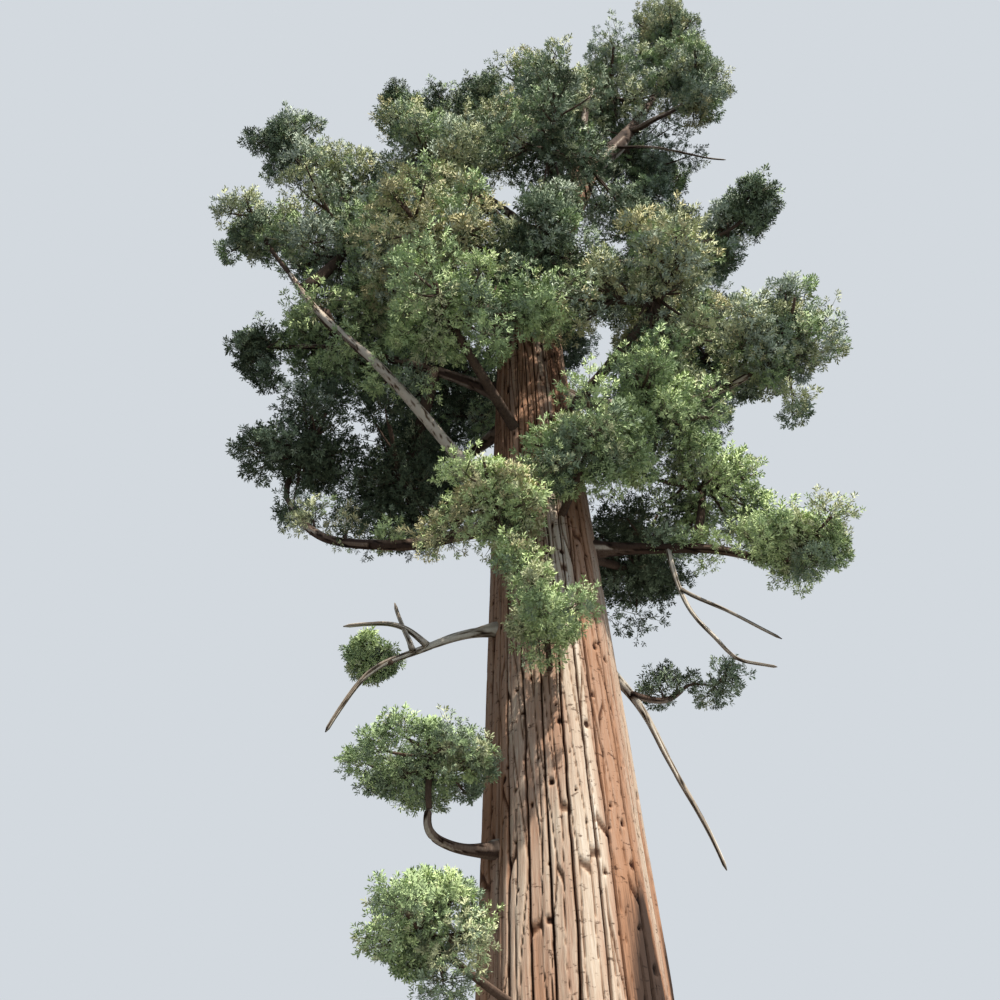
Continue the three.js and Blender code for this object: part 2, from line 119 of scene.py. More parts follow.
def add(tree, kind, inputs=None, stops=(), **settings):
    """Adds one node. An input is a plain value, or another node's output to link. Stops are the
    places and hex colours of a ramp."""
    node = tree.nodes.new(kind)
    for name, value in settings.items():
        setattr(node, name, value)
    for name, value in (inputs or {}).items():
        if isinstance(value, bpy.types.NodeSocket):
            tree.links.new(value, node.inputs[name])
        else:
            node.inputs[name].default_value = value
    while stops and len(node.color_ramp.elements) < len(stops):
        node.color_ramp.elements.new(0.5)
    for k, (place, colour) in enumerate(stops):
        node.color_ramp.elements[k].position = place
        node.color_ramp.elements[k].color = linear(colour)
    return node


def grain(tree, per_metre, stretch=(1, 1, 1), detail=2.0, roughness=0.5):
    """A pattern in the object's space, scaled apart along each axis so that it can run with the wood."""
    place = add(tree, "ShaderNodeTexCoord").outputs["Object"]
    drawn = add(tree, "ShaderNodeMapping", {"Vector": place, "Scale": stretch}).outputs["Vector"]
    return add(tree, "ShaderNodeTexNoise", {"Vector": drawn, "Scale": per_metre, "Detail": detail,
                                            "Roughness": roughness}).outputs["Fac"]


def new_material(name):
    material = bpy.data.materials.new(name)
    material.use_nodes = True
    material.node_tree.nodes.clear()
    return material, material.node_tree


def surface(tree, **inputs):
    """The shader at the end of a recipe. Socket names are given with _ for a space."""
    shader = add(tree, "ShaderNodeBsdfPrincipled", {k.replace("_", " "): v for k, v in inputs.items()})
    add(tree, "ShaderNodeOutputMaterial", {"Surface": shader.outputs["BSDF"]})


def mottled(name, per_metre, stops, **finish):
    """A matte surface that wanders between two close tones."""
    material, tree = new_material(name)
    tone = add(tree, "ShaderNodeValToRGB", {"Fac": grain(tree, per_metre)}, stops)
    surface(tree, Base_Color=tone.outputs["Color"], **finish)
    return material


print("helpers for colours, nodes and plain materials are ready")

# %% [markdown]
# ## Light and floor
# Out of doors the sun stands high and to the right of the viewer, so the left edge of the
# trunk falls into shade, the clumps in front throw dappled shadows down the bark, and each clump is
# bright on top and nearly black below. One sun lamp gives the same in a studio. The surround works
# like one wide soft box: strong from above and from the viewer's right, weak from below and from the
# left. The camera itself sees a plain pale backdrop in its place. The floor is a plain pale disc,
# kept small: a wide one would throw light up into the crown from below.

# %% Sun and surround
TO_SUN = Vector((0.36, -0.42, 0.833))
SUN_STRENGTH = 9.6
SUN_WIDTH = math.radians(1.0)
TO_SOFT_BOX = (0.36, -0.44, 0.82)

sun = put("sun", bpy.data.lights.new("sun", "SUN"))
sun.data.energy = SUN_STRENGTH
sun.data.color = linear("#FFF6E8")[:3]
sun.data.angle = SUN_WIDTH
sun.matrix_world = TO_SUN.to_track_quat("Z", "Y").to_matrix().to_4x4()

world = bpy.data.worlds.new("studio surround")
world.use_nodes = True
surround = world.node_tree
surround.nodes.clear()
way = add(surround, "ShaderNodeTexCoord").outputs["Object"]
facing = add(surround, "ShaderNodeVectorMath", {0: way, 1: TO_SOFT_BOX}, operation="DOT_PRODUCT")
glow = add(surround, "ShaderNodeMapRange", {"Value": facing.outputs["Value"], "From Min": -0.5,
                                            "From Max": 1.0, "To Min": 0.10, "To Max": 1.08})
soft_box = add(surround, "ShaderNodeBackground", {"Color": linear("#DCE8F4"),
                                                  "Strength": glow.outputs["Result"]})
backdrop = add(surround, "ShaderNodeBackground", {"Color": linear("#D3D9DF"), "Strength": 1.0})
seen = add(surround, "ShaderNodeLightPath").outputs["Is Camera Ray"]
mixed = add(surround, "ShaderNodeMixShader", {0: seen, 1: soft_box.outputs[0], 2: backdrop.outputs[0]})
add(surround, "ShaderNodeOutputWorld", {"Surface": mixed.outputs[0]})
bpy.context.scene.world = world
print("sun", round(math.degrees(math.asin(TO_SUN.normalized().z))), "degrees up")

# %% Floor
FLOOR_RADIUS = 17
FLOOR_CORNERS = 96
FLOOR_LEVEL = -0.01

steps_round = [math.tau * k / FLOOR_CORNERS for k in range(FLOOR_CORNERS)]
rim = [(FLOOR_RADIUS * math.cos(a), FLOOR_RADIUS * math.sin(a), FLOOR_LEVEL) for a in steps_round]
floor_mesh = bpy.data.meshes.new("floor")
floor_mesh.from_pydata(rim, [], [tuple(range(FLOOR_CORNERS))])
floor_mesh.materials.append(
    mottled("floor_matt_paint", 0.6, [(0.3, "#8B8B8A"), (0.7, "#929290")], Roughness=0.95))
floor = put("floor", floor_mesh)
print("floor disc", 2 * FLOOR_RADIUS, "m across")

# %% [markdown]
# ## Bark
# Sequoia bark is a hand's breadth thick, soft and fibrous. It stands in long, nearly flat plates,
# about 30 cm wide, between deep narrow furrows. The plates weather to cinnamon, tan and pale cream
# in the sun, and the furrows stay dark brown; the material darkens them further, nearly to black on
# their floors and in the wounds, as painted shade. The relief is real geometry, made below, and each
# point of that mesh carries two numbers: `relief`, from the floor of a furrow to a plate's face,
# and `tint`, from rust over tan to cream, which on the trunk also carries painted light and shade.
# The material turns both into colour. It adds the fibres as a long-drawn noise and a bump, and small
# dark specks all over. Real fibres are a few millimetres thick, too fine to show from here, so these
# are drawn up to three centimetres wide.

# %% Bark material
FIBRES_PER_METRE = 34.0
SPECKS_PER_METRE = 7.0
PATCHES_PER_METRE = 2.1
FIBRE_SHARE, PATCH_SHARE, MIDDLE = 0.55, 0.5, 0.53
SPECKS = [(0.32, "#6A5448"), (0.41, "#FFFFFF")]


def bark_material(name, plates, furrows, roughness, speck_depth):
    """Fibrous bark: matte and rough all over, so that nothing on it glints."""
    material, tree = new_material(name)
    relief = add(tree, "ShaderNodeAttribute", attribute_name="relief").outputs["Fac"]
    tint = add(tree, "ShaderNodeAttribute", attribute_name="tint").outputs["Fac"]
    fibre = grain(tree, FIBRES_PER_METRE, (1.0, 1.0, 0.045), 5.0, 0.65)
    speck = grain(tree, SPECKS_PER_METRE, (1.0, 1.0, 1.7), 3.0, 0.7)
    patch = grain(tree, PATCHES_PER_METRE, (1.0, 1.0, 0.25), 3.0)
    tone = tint
    for part, share in ((fibre, FIBRE_SHARE), (patch, PATCH_SHARE)):
        tone = add(tree, "ShaderNodeMath", {0: part, 1: share, 2: tone},
                   operation="MULTIPLY_ADD").outputs["Value"]
    tone = add(tree, "ShaderNodeMath", {0: tone, 1: MIDDLE}, operation="SUBTRACT").outputs["Value"]
    colour, specks, depths = (
        add(tree, "ShaderNodeValToRGB", {"Fac": place}, stops).outputs["Color"]
        for place, stops in ((tone, plates), (speck, SPECKS), (relief, furrows)))
    # The relief ramp darkens furrows, cracks and wounds: partly the bark's own darker colour there, partly
    # painted shade.
    for share, darker in ((speck_depth, specks), (1.0, depths)):
        colour = add(tree, "ShaderNodeMix", {0: share, 6: colour, 7: darker}, data_type="RGBA",
                     blend_type="MULTIPLY").outputs[2]
    bump = add(tree, "ShaderNodeBump", {"Height": fibre, "Strength": 0.8, "Distance": 0.02})
    surface(tree, Base_Color=colour, Roughness=roughness, Normal=bump.outputs["Normal"],
            Specular_IOR_Level=0.15)
    return material


# In each wood surface the second list of stops darkens the furrows and cracks: partly their own darker
# colour, partly painted shade.
BARK = bark_material(
    "bark_fibrous_weathered",
    [(0.0, "#362A24"), (0.2, "#674E3F"), (0.38, "#8F6C55"), (0.58, "#967C6B"), (0.8, "#AB9D8E"),
     (1.0, "#BEB6AC")],
    [(0.0, "#35241C"), (0.3, "#6E5345"), (0.65, "#E2D6CC"), (1.0, "#FFFFFF")], 0.92, 0.8)
BOUGH_BARK = bark_material(
    "bark_scaly_young",
    [(0.0, "#302420"), (0.35, "#46372E"), (0.65, "#67584E"), (1.0, "#AFA598")],
    [(0.0, "#4A3A30"), (0.4, "#A09288"), (1.0, "#FFFFFF")], 0.9, 0.5)
DEAD_WOOD = bark_material(
    "dead_wood_silvered",
    [(0.0, "#766D63"), (0.4, "#958C80"), (0.75, "#ADA69B"), (1.0, "#BEB9AF")],
    [(0.0, "#4C443C"), (0.4, "#A79D92"), (1.0, "#FFFFFF")], 0.8, 0.3)
print("three kinds of wood surface")

# %% [markdown]
# ## Making meshes from arrays
# A trunk with relief has hundreds of thousands of corners, and so do the twigs together. Adding
# them one by one would be slow, so every mesh here is worked out as whole arrays of numbers and
# handed to Blender at once. Nearly all wood is a tube: rings of points along a path, joined by
# triangles and closed at both ends. One function makes any number of such tubes of equal count.

# %% Arrays into meshes
def give(mesh, title, kind, values):
    """Stores one value for each point of a mesh, under a name."""
    numbers = np.ascontiguousarray(values, np.int32 if kind == "INT" else np.float32).ravel()
    field = "vector" if kind == "FLOAT_VECTOR" else "value"
    mesh.attributes.new(title, kind, "POINT").data.foreach_set(field, numbers)


def piece(name, points, triangles, material, relief=None, tint=None):
    """One smooth mesh object from arrays of corners and triangles."""
    mesh = bpy.data.meshes.new(name)
    mesh.vertices.add(len(points))
    mesh.vertices.foreach_set("co", np.ascontiguousarray(points, np.float32).ravel())
    mesh.loops.add(3 * len(triangles))
    mesh.loops.foreach_set("vertex_index", np.ascontiguousarray(triangles, np.int32).ravel())
    mesh.polygons.add(len(triangles))
    mesh.polygons.foreach_set("loop_start", np.arange(0, 3 * len(triangles), 3, dtype=np.int32))
    for title, values in (("relief", relief), ("tint", tint)):
        if values is not None:
            give(mesh, title, "FLOAT", values)
    mesh.update(calc_edges=True)
    mesh.polygons.foreach_set("use_smooth", np.ones(len(triangles), bool))
    mesh.materials.append(material)
    print(name, len(triangles), "triangles")
    return put(name, mesh)


def dress(made, slot, *nodes):
    """Attaches a piece to the root body and hides the solids that it stands for. The slot is not used."""
    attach(made, "root")
    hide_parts(*nodes)


def unit(v):
    return v / np.maximum(np.linalg.norm(v, axis=-1, keepdims=True), 1e-9)


def tube_points(paths, radii, sides):
    """Rings of points round paths (tube, step, xyz); radii are (tube, step, 1 or side)."""
    heading_ = unit(np.gradient(paths, axis=1))
    steep = np.abs(heading_[:, :1, 2:]) > 0.9
    helper = np.where(steep, [0.0, 1.0, 0.0], [0.0, 0.0, 1.0])[:, 0]
    across = unit(np.cross(helper, heading_[:, 0]))
    turn = np.arange(sides) * math.tau / sides
    rings = np.empty((*paths.shape[:2], sides, 3))
    for step in range(paths.shape[1]):
        along = heading_[:, step]
        across = unit(across - along * np.sum(across * along, axis=1, keepdims=True))
        up = np.cross(along, across)
        ring = across[:, None] * np.cos(turn)[:, None] + up[:, None] * np.sin(turn)[:, None]
        rings[:, step] = paths[:, step, None] + ring * radii[:, step, :, None]
    return rings


def tube_triangles(tubes, steps, sides, cap_root=True, cap_tip=True):
    """Triangles for rings that lie one after another, with flat fans over the ends."""
    step, side = np.meshgrid(np.arange(steps - 1), np.arange(sides), indexing="ij")
    a = (step * sides + side).ravel()
    b = (step * sides + (side + 1) % sides).ravel()
    faces = [np.stack([a, b, b + sides], 1), np.stack([a, b + sides, a + sides], 1)]
    k = np.arange(1, sides - 1)
    last = (steps - 1) * sides
    if cap_root:
        faces.append(np.stack([np.zeros_like(k), k + 1, k], 1))
    if cap_tip:
        faces.append(np.stack([np.full_like(k, last), last + k, last + k + 1], 1))
    one = np.concatenate(faces)
    return (one[None] + (np.arange(tubes) * steps * sides)[:, None, None]).reshape(-1, 3)


print("a tube of 3 rings of 5 points has", len(tube_triangles(1, 3, 5)), "triangles")


# %% [markdown]
# ## Plates and furrows
# The fine cracks are the borders of a net of cells, each many times as tall as wide. The distance
# from the border between the two nearest cell hearts is small in a crack and large beside it. It
# comes from a grid with one jittered heart per square, closed round the limb so that no seam shows.
# A slow noise bends the cracks a little, and a faster one frays their edges.

# %% Plates and furrows
def lattice_noise(u, v, cells, seed):
    """Smooth noise between 0 and 1, closed round u (0 to 1), with the given cells round."""
    rows = int(np.max(v)) + 3
    grid = np.random.default_rng(seed).random((rows, cells))
    col, row = np.floor(u * cells).astype(int), np.floor(v).astype(int)
    fu, fv = u * cells - col, v - row
    fu, fv = fu * fu * (3 - 2 * fu), fv * fv * (3 - 2 * fv)
    low = grid[row, col % cells] * (1 - fu) + grid[row, (col + 1) % cells] * fu
    high = grid[row + 1, col % cells] * (1 - fu) + grid[row + 1, (col + 1) % cells] * fu
    return low * (1 - fv) + high * fv


def plates(u, v, cells, seed):
    """Distance from the nearest cell border, in cells, and one random value for each cell."""
    rng = np.random.default_rng(seed)
    rows = int(np.max(v)) + 4
    heart_u, heart_v = rng.random((rows, cells)), rng.random((rows, cells))
    own = rng.random((rows, cells))
    col, row = np.floor(u * cells).astype(int), np.floor(v).astype(int) + 1
    nearest = np.full(u.shape, 9.0)
    second = np.full(u.shape, 9.0)
    value = np.zeros(u.shape)
    for dr in (-1, 0, 1):
        for dc in (-1, 0, 1):
            r, c = row + dr, (col + dc) % cells
            gap_u = col + dc + 0.15 + 0.7 * heart_u[r, c] - u * cells
            gap_v = (row - 1) + dr + heart_v[r, c] - v
            far = np.hypot(gap_u, 0.75 * gap_v)
            closer = far < nearest
            second = np.where(closer, nearest, np.minimum(second, far))
            value = np.where(closer, own[r, c], value)
            nearest = np.where(closer, far, nearest)
    return second - nearest, value


def smooth_step(low, high, x):
    t = np.clip((x - low) / (high - low), 0, 1)
    return t * t * (3 - 2 * t)


def bark_relief(u, height, round_metres, cells, plate_height, furrow, seed):
    """Relief from 0 in a furrow to 1 on a plate, and the plate's own value. furrow is a half-width."""
    v = height / plate_height
    lean = 0.004 * height + 0.03 * (lattice_noise(u, v * 1.3, 7, seed + 1) - 0.5)
    frayed = 0.0016 * (lattice_noise(u, height * 6.0, 3 * cells, seed + 2) - 0.5)
    bent = (u + lean + frayed) % 1.0
    border, own = plates(bent, v, cells, seed)
    wide = round_metres[:, None] / u.shape[1]
    tall = np.gradient(height[:, 0])[:, None]
    across = (np.roll(border, -1, axis=1) - np.roll(border, 1, axis=1)) / (2 * wide)
    slope = np.hypot(across, np.gradient(border, axis=0) / tall)
    away = border / np.maximum(slope, 0.5 * cells / round_metres[:, None])
    return smooth_step(0.3 * furrow, furrow, away), own


print("half-way up a smooth step:", smooth_step(0, 1, 0.5))

# %% [markdown]
# ## Trunk
# The trunk keeps the solid's numbers: its taper, the flare at the ground, nine shallow flutes, the
# bend to the right above the first boughs, and the 26 main furrows, which start at the same seeded
# places, drift alike as they climb and are about as deep.

# %% Trunk numbers
TRUNK = dict(fork=28.3, base=1.5, taper=0.0405, flare=0.55, flare_height=1.1, bend_from=19.3,
             bend=0.034, bend_power=1.9, flutes=9, flute_depth=0.055, plates=26, uneven=0.4, sway=0.1,
             sway_turn=0.5, shoulder=0.13, furrow_depth=0.068)


def dice(seed):
    """The solids' own row of random numbers."""
    state = seed & 0xFFFFFFFF

    def roll():
        nonlocal state
        state = (state + 0x6D2B79F5) & 0xFFFFFFFF
        t = ((state ^ (state >> 15)) * (1 | state)) & 0xFFFFFFFF
        t = ((t + ((t ^ (t >> 7)) * (61 | t))) ^ t) & 0xFFFFFFFF
        return (t ^ (t >> 14)) / 4294967296
    return roll


def trunk_axis(height):
    height = np.asarray(height, float)
    sideways = TRUNK["bend"] * np.maximum(0, height - TRUNK["bend_from"]) ** TRUNK["bend_power"]
    return np.stack([sideways, np.zeros_like(height), height], axis=-1)


def trunk_radius(height):
    flare = TRUNK["flare"] * np.exp(-height / TRUNK["flare_height"])
    return TRUNK["base"] - TRUNK["taper"] * height + flare


def off_trunk(points):
    """How far points stand off the trunk's plain cone, level with the ground."""
    return (np.linalg.norm((points - trunk_axis(points[..., 2]))[..., :2], axis=-1)
            - trunk_radius(points[..., 2]))


roll = dice(SEED)
FURROWS = [(k + TRUNK["uneven"] * (roll() - 0.5), math.tau * roll(),
            TRUNK["furrow_depth"] * (0.75 + 0.5 * roll())) for k in range(TRUNK["plates"])]
print(len(FURROWS), "furrows; radius at 5 m", round(float(trunk_radius(5.0)), 2), "m")

# %% [markdown]
# Each point of the trunk belongs to its nearest furrow. The wounds are where small twigs broke off
# long ago: hollows a few centimetres wide, and each one touches only the rings close to it.

# %% Furrows and wounds
WOUNDS = 760
WOUNDED_UP_TO = 26


def nearest_furrow(u, height):
    """Signed distance from the nearest main furrow in plates, its depth, and the plate's number."""
    count = TRUNK["plates"]
    away, deep, plate = np.full(u.shape, 9.0), np.zeros(u.shape), np.zeros(u.shape, int)
    for k, (begin, phase, depth) in enumerate(FURROWS):
        place = begin + TRUNK["sway"] * np.sin(TRUNK["sway_turn"] * height + phase)
        gap = (u * count - place + count / 2) % count - count / 2
        closer = np.abs(gap) < np.abs(away)
        away = np.where(closer, gap, away)
        deep = np.where(closer, depth, deep)
        plate = np.where(closer, (k - (gap < 0)) % count, plate)
    return away, deep, plate


def wounds(u, height, count, seed):
    """Small round hollows as a depth from 0 to 1, most of them three or four centimetres across."""
    rng = np.random.default_rng(seed)
    deep = np.zeros(u.shape)
    for _ in range(count):
        at_u, at_h, wide = rng.random(), rng.uniform(0.5, WOUNDED_UP_TO), 0.016 + 0.032 * rng.random() ** 3
        round_m = math.tau * trunk_radius(at_h)
        rows = slice(*np.searchsorted(height[:, 0], (at_h - 4 * wide, at_h + 4 * wide)))
        gap = (np.abs(u[rows] - at_u + 0.5) % 1.0 - 0.5) * round_m
        near = np.hypot(gap / wide, (height[rows] - at_h) / (1.25 * wide))
        deep[rows] = np.maximum(deep[rows], 1 - smooth_step(0.5, 1.5, near))
    return deep


print(WOUNDS, "wounds up to", WOUNDED_UP_TO, "m")

# %% [markdown]
# Thin cracks, fibres and the wounds are added to the solid's form here, and the last metre and a
# half rounds off between the top boughs. Rings are closest together on the bole, which the camera
# sees from nearest. All of it is one grid of numbers, ring by ring, that ends as a radius for every
# corner.

# %% Trunk relief
TRUNK_SIDES = 520
STRETCHES = (("trunk_foot", 0.0, 5.6, 0.08), ("trunk_bole", 5.6, 13.7, 0.0435),
             ("trunk_crown_shaft", 13.7, TRUNK["fork"], 0.11))
CRACK = dict(cells=46, tall=2.6, half_width=0.017, depth=0.036)
WOUND_DEPTH, FIBRE_HEIGHT, PLATE_LIFT = 0.05, 0.012, 0.016
ROUND_OFF = 1.6

steps_up = np.concatenate([np.arange(low, high - 0.5 * step, step) for _, low, high, step in STRETCHES]
                          + [[TRUNK["fork"]]])
ends = [int(np.argmin(np.abs(steps_up - high))) for _, _, high, _ in STRETCHES]
u_grid, h_grid = np.meshgrid(np.arange(TRUNK_SIDES) / TRUNK_SIDES, steps_up)
turn = u_grid * math.tau
wobble = (0.16 * (lattice_noise(u_grid, h_grid * 0.9, 13, SEED + 3) - 0.5)
          + 0.05 * (lattice_noise(u_grid, h_grid * 5.0, 60, SEED + 4) - 0.5)) / TRUNK["plates"]
away, deep, plate = nearest_furrow(u_grid + wobble, h_grid)
groove = smooth_step(0.05, 0.66, np.abs(away) / TRUNK["shoulder"])
deep = deep * (0.6 + 0.5 * lattice_noise(u_grid, h_grid * 0.7, 40, SEED + 6))
crack, own = bark_relief(u_grid, h_grid, math.tau * trunk_radius(steps_up), CRACK["cells"], CRACK["tall"],
                         CRACK["half_width"], SEED)
wound = wounds(u_grid, h_grid, WOUNDS, SEED + 5)
fibres = lattice_noise(u_grid, h_grid * 1.2, 170, SEED + 7) - 0.5
fluting = TRUNK["flute_depth"] * (0.25 + 1.2 * np.exp(-h_grid / 3)) * np.cos(
    TRUNK["flutes"] * turn + 0.9 * np.sin(2 * turn))
finer = (CRACK["depth"] * (1 - crack) * groove + WOUND_DEPTH * wound - FIBRE_HEIGHT * fibres
         - PLATE_LIFT * (own - 0.5))
small = np.clip(trunk_radius(h_grid) / 1.25, 0.35, 1.0)
radius = trunk_radius(h_grid) * (1 + fluting - deep * (1 - groove)) - small * finer
radius *= np.sqrt(np.clip((TRUNK["fork"] + 0.02 - h_grid) / ROUND_OFF, 0.01, 1))
rings = tube_points(trunk_axis(steps_up)[None], radius[None], TRUNK_SIDES)[0]
print(len(steps_up), "rings of", TRUNK_SIDES)

# %% [markdown]
# The colour changes round the trunk as the camera sees it: cream on the front, cinnamon on the right
# flank and tan on the left, partly the bark's own colour and partly painted light. The left edge,
# turned from the sun, is darker as painted shade, and a pale painted highlight runs down the right
# rim. Up in the crown the bark is darker and redder, as painted shade, and low on the right it is
# nearly black. Each plate then has its own small difference. The tints go from the left edge (-1)
# to the right edge (1).

# %% Trunk colour
# Tints from the camera's left edge to its right edge: the low one at the left edge is painted shade, the high
# one at the right rim a painted highlight, and the cream front partly painted sunlight.
TINTS_AND_PAINTED_LIGHT = ((-1.0, 0.34), (-0.6, 0.62), (0.05, 0.64), (0.22, 0.86), (0.42, 0.84), (0.55, 0.42), (0.82, 0.40),
         (0.93, 0.80), (1.0, 0.80))
UNSEEN_TINT = 0.5
CROWN_SHADE, LOW_RIGHT_DARKENING = 0.20, 0.95

relief = groove * (0.35 + 0.65 * crack) * (1 - wound)
front = np.interp(np.cos(turn), *zip(*TINTS_AND_PAINTED_LIGHT))
face = smooth_step(-0.2, 0.2, -np.sin(turn))
ragged = h_grid + 3.6 * (lattice_noise(u_grid, h_grid * 0.35, 30, SEED + 9) - 0.5)
low_right = smooth_step(7.9, 5.3, ragged) * smooth_step(0.5, 0.76, np.cos(turn))
# Painted shade darkens the bark up in the crown; the bark is also made darker low on the right.
dim = CROWN_SHADE * smooth_step(13.0, 17.0, h_grid) + LOW_RIGHT_DARKENING * low_right
plate_own = np.random.default_rng(SEED + 8).uniform(-0.09, 0.09, TRUNK["plates"])[plate]
tint = UNSEEN_TINT * (1 - face) + front * face - dim + plate_own + 0.10 * (own - 0.5)
print("tint from", round(float(tint.min()), 2), "to", round(float(tint.max()), 2))

# %% [markdown]
# The mesh is split by height into three pieces that share their rings. Their normals are worked
# out on the whole sheet first, so the pieces meet without a visible line.

# %% Trunk pieces
round_about = np.roll(rings, -1, axis=1) - np.roll(rings, 1, axis=1)
normals = unit(np.cross(round_about, np.gradient(rings, axis=0)))
start = 0
for (name, low, high, _), end in zip(STRETCHES, ends):
    part = slice(start, end + 1)
    faces = tube_triangles(1, end + 1 - start, TRUNK_SIDES, low == 0, high == TRUNK["fork"])
    made = piece(name, rings[part].reshape(-1, 3), faces, BARK, relief[part], tint[part])
    made.data.normals_split_custom_set_from_vertices(normals[part].reshape(-1, 3))
    dress(made, "bark", "trunk")
    start = end

# %% [markdown]
# ## Boughs and dead limbs
# Every limb is grown along the same bent line as its solid: from its parent's heart, past one bend
# point, to its tip. The real ones wander a little as they go, swell into a collar where they leave
# the trunk, and carry coarse scaly bark. Dead limbs have lost theirs and weathered to silver.

# %% Limb lines
LIMBS = {
    "limb_spire": ["trunk", 28.0, (4.2, 0.5, 31.2), (5.1, 0.9, 35.9), 0.17, 0.07, "bark"],
    "limb_right_tip": ["limb_spire", 0.3, (4.3, -0.4, 29.6), (5.2, -0.1, 31.0), 0.1, 0.05, "bark"],
    "limb_crest": ["trunk", 26.9, (2.0, -1.0, 29.8), (2.4, 0.1, 32.5), 0.15, 0.06, "bark"],
    "limb_left_crest": ["trunk", 25.6, (0.8, -0.5, 28.6), (0.5, -0.6, 30.2), 0.15, 0.06, "bark"],
    "limb_left_tip": ["trunk", 24.2, (-1.2, 0.5, 27.9), (-1.7, 0.2, 31.2), 0.15, 0.06, "bark"],
    "limb_plume": ["trunk", 21.4, (-3.4, -0.8, 22.8), (-5.6, -1.1, 27.3), 0.17, 0.06, "bark"],
    "bough_left_big": ["trunk", 14.2, (-2.9, -2.6, 16.4), (-5.2, -1.3, 21.8), 0.15, 0.06, "bark"],
    "bough_dark_tip": ["trunk", 18.0, (-3.2, 0.4, 21.2), (-5.2, -0.1, 20.7), 0.16, 0.06, "bark"],
    "bough_left_mid": ["trunk", 14.8, (-3.2, -2.4, 11.6), (-4.9, 0.4, 16.1), 0.14, 0.06, "bark"],
    "dead_left": ["trunk", 12.3, (-2.4, -1.6, 11.4), (-3.2, -1.6, 9.5), 0.1, 0.03, "dead_wood"],
    "bough_right_big": ["trunk", 14.1, (2.4, 0.0, 14.0), (3.7, -0.2, 13.3), 0.14, 0.07, "bark"],
    "dead_hang": ["bough_right_big", 0.52, (2.3, -0.3, 11.0), (3.5, -0.4, 10.9), 0.05, 0.025, "dead_wood"],
    "bough_right_low": ["trunk", 12.6, (1.8, 0.9, 11.4), (2.3, 0.5, 8.1), 0.1, 0.03, "dead_wood"],
    "twig_right_low": ["bough_right_low", 0.42, (1.9, 1.0, 11.2), (2.2, 1.0, 11.6), 0.07, 0.04, "bark"],
    "bough_right_thin": ["trunk", 23.4, (2.9, 0.2, 22.8), (4.5, -0.4, 23.1), 0.12, 0.05, "bark"],
    "bough_right_up": ["trunk", 18.5, (2.6, 0.7, 17.9), (4.5, 0.1, 18.6), 0.16, 0.07, "bark"],
    "bough_low": ["trunk", 8.6, (-1.8, -1.6, 7.3), (-1.7, -1.6, 8.2), 0.1, 0.05, "bark"],
    "bough_back_left": ["trunk", 18.4, (-1.4, 2.2, 18.6), (-2.1, 2.9, 20.0), 0.19, 0.09, "bark"],
    "bough_back_mid": ["trunk", 21.6, (0.2, 2.4, 22.4), (0.4, 3.4, 24.7), 0.18, 0.09, "bark"],
    "bough_back_up": ["trunk", 23.4, (-1.8, 1.7, 24.0), (-3.2, 2.6, 25.7), 0.17, 0.08, "bark"],
}
SIDE_TWIGS = [
    ("dead_left", 0.52, (-2.2, -1.2, 11.3), (-2.4, -1.2, 12.1), 0.06, 0.03, "dead_wood"),
    ("dead_left", 0.46, (-2.2, -1.3, 11.7), (-3.2, -1.2, 11.7), 0.06, 0.03, "dead_wood"),
    ("dead_hang", 0.2, (2.9, 0.1, 12.6), (3.8, 0.1, 11.8), 0.04, 0.025, "dead_wood"),
    ("limb_spire", 0.14, (4.4, 0.1, 28.2), (5.5, 0, 27.4), 0.05, 0.02, "bark"),
]


def bent_line(a, b, c):
    """The curve from a, drawn towards b, to c."""
    a, b, c = (np.asarray(p, float) for p in (a, b, c))

    def at(t):
        t = np.asarray(t, float)[..., None]
        return a * (1 - t) ** 2 + b * 2 * t * (1 - t) + c * t * t
    return at


lines = {}
for name, (parent, where, bend, tip, *_rest) in LIMBS.items():
    root = trunk_axis(where) if parent == "trunk" else lines[parent](where)
    lines[name] = bent_line(root, bend, tip)
print(len(lines), "limb lines")

# %% [markdown]
# A wandering line is the plain one plus a few slow waves that fade out at both ends, so the limb
# still leaves and arrives where the solid does.

# %% Limbs with bark
LIMB = dict(sides=20, step=0.07, wander=0.022, taper=0.62, collar=0.75, collar_reach=0.28, cells=6, tall=1.1,
            crack_width=0.014, crack_depth=0.13, lumps=0.16, tip=0.3)
PALE = {"bough_left_big": 0.55, "bough_right_up": 0.2}


def wander(path, amount, rng):
    """Slow waves across a path, nothing at either end."""
    t = np.linspace(0, 1, len(path))[:, None]
    waves = sum(rng.uniform(-1, 1, 3) / k * np.sin(math.pi * k * t) for k in (1, 2, 3, 5))
    return path + amount * waves


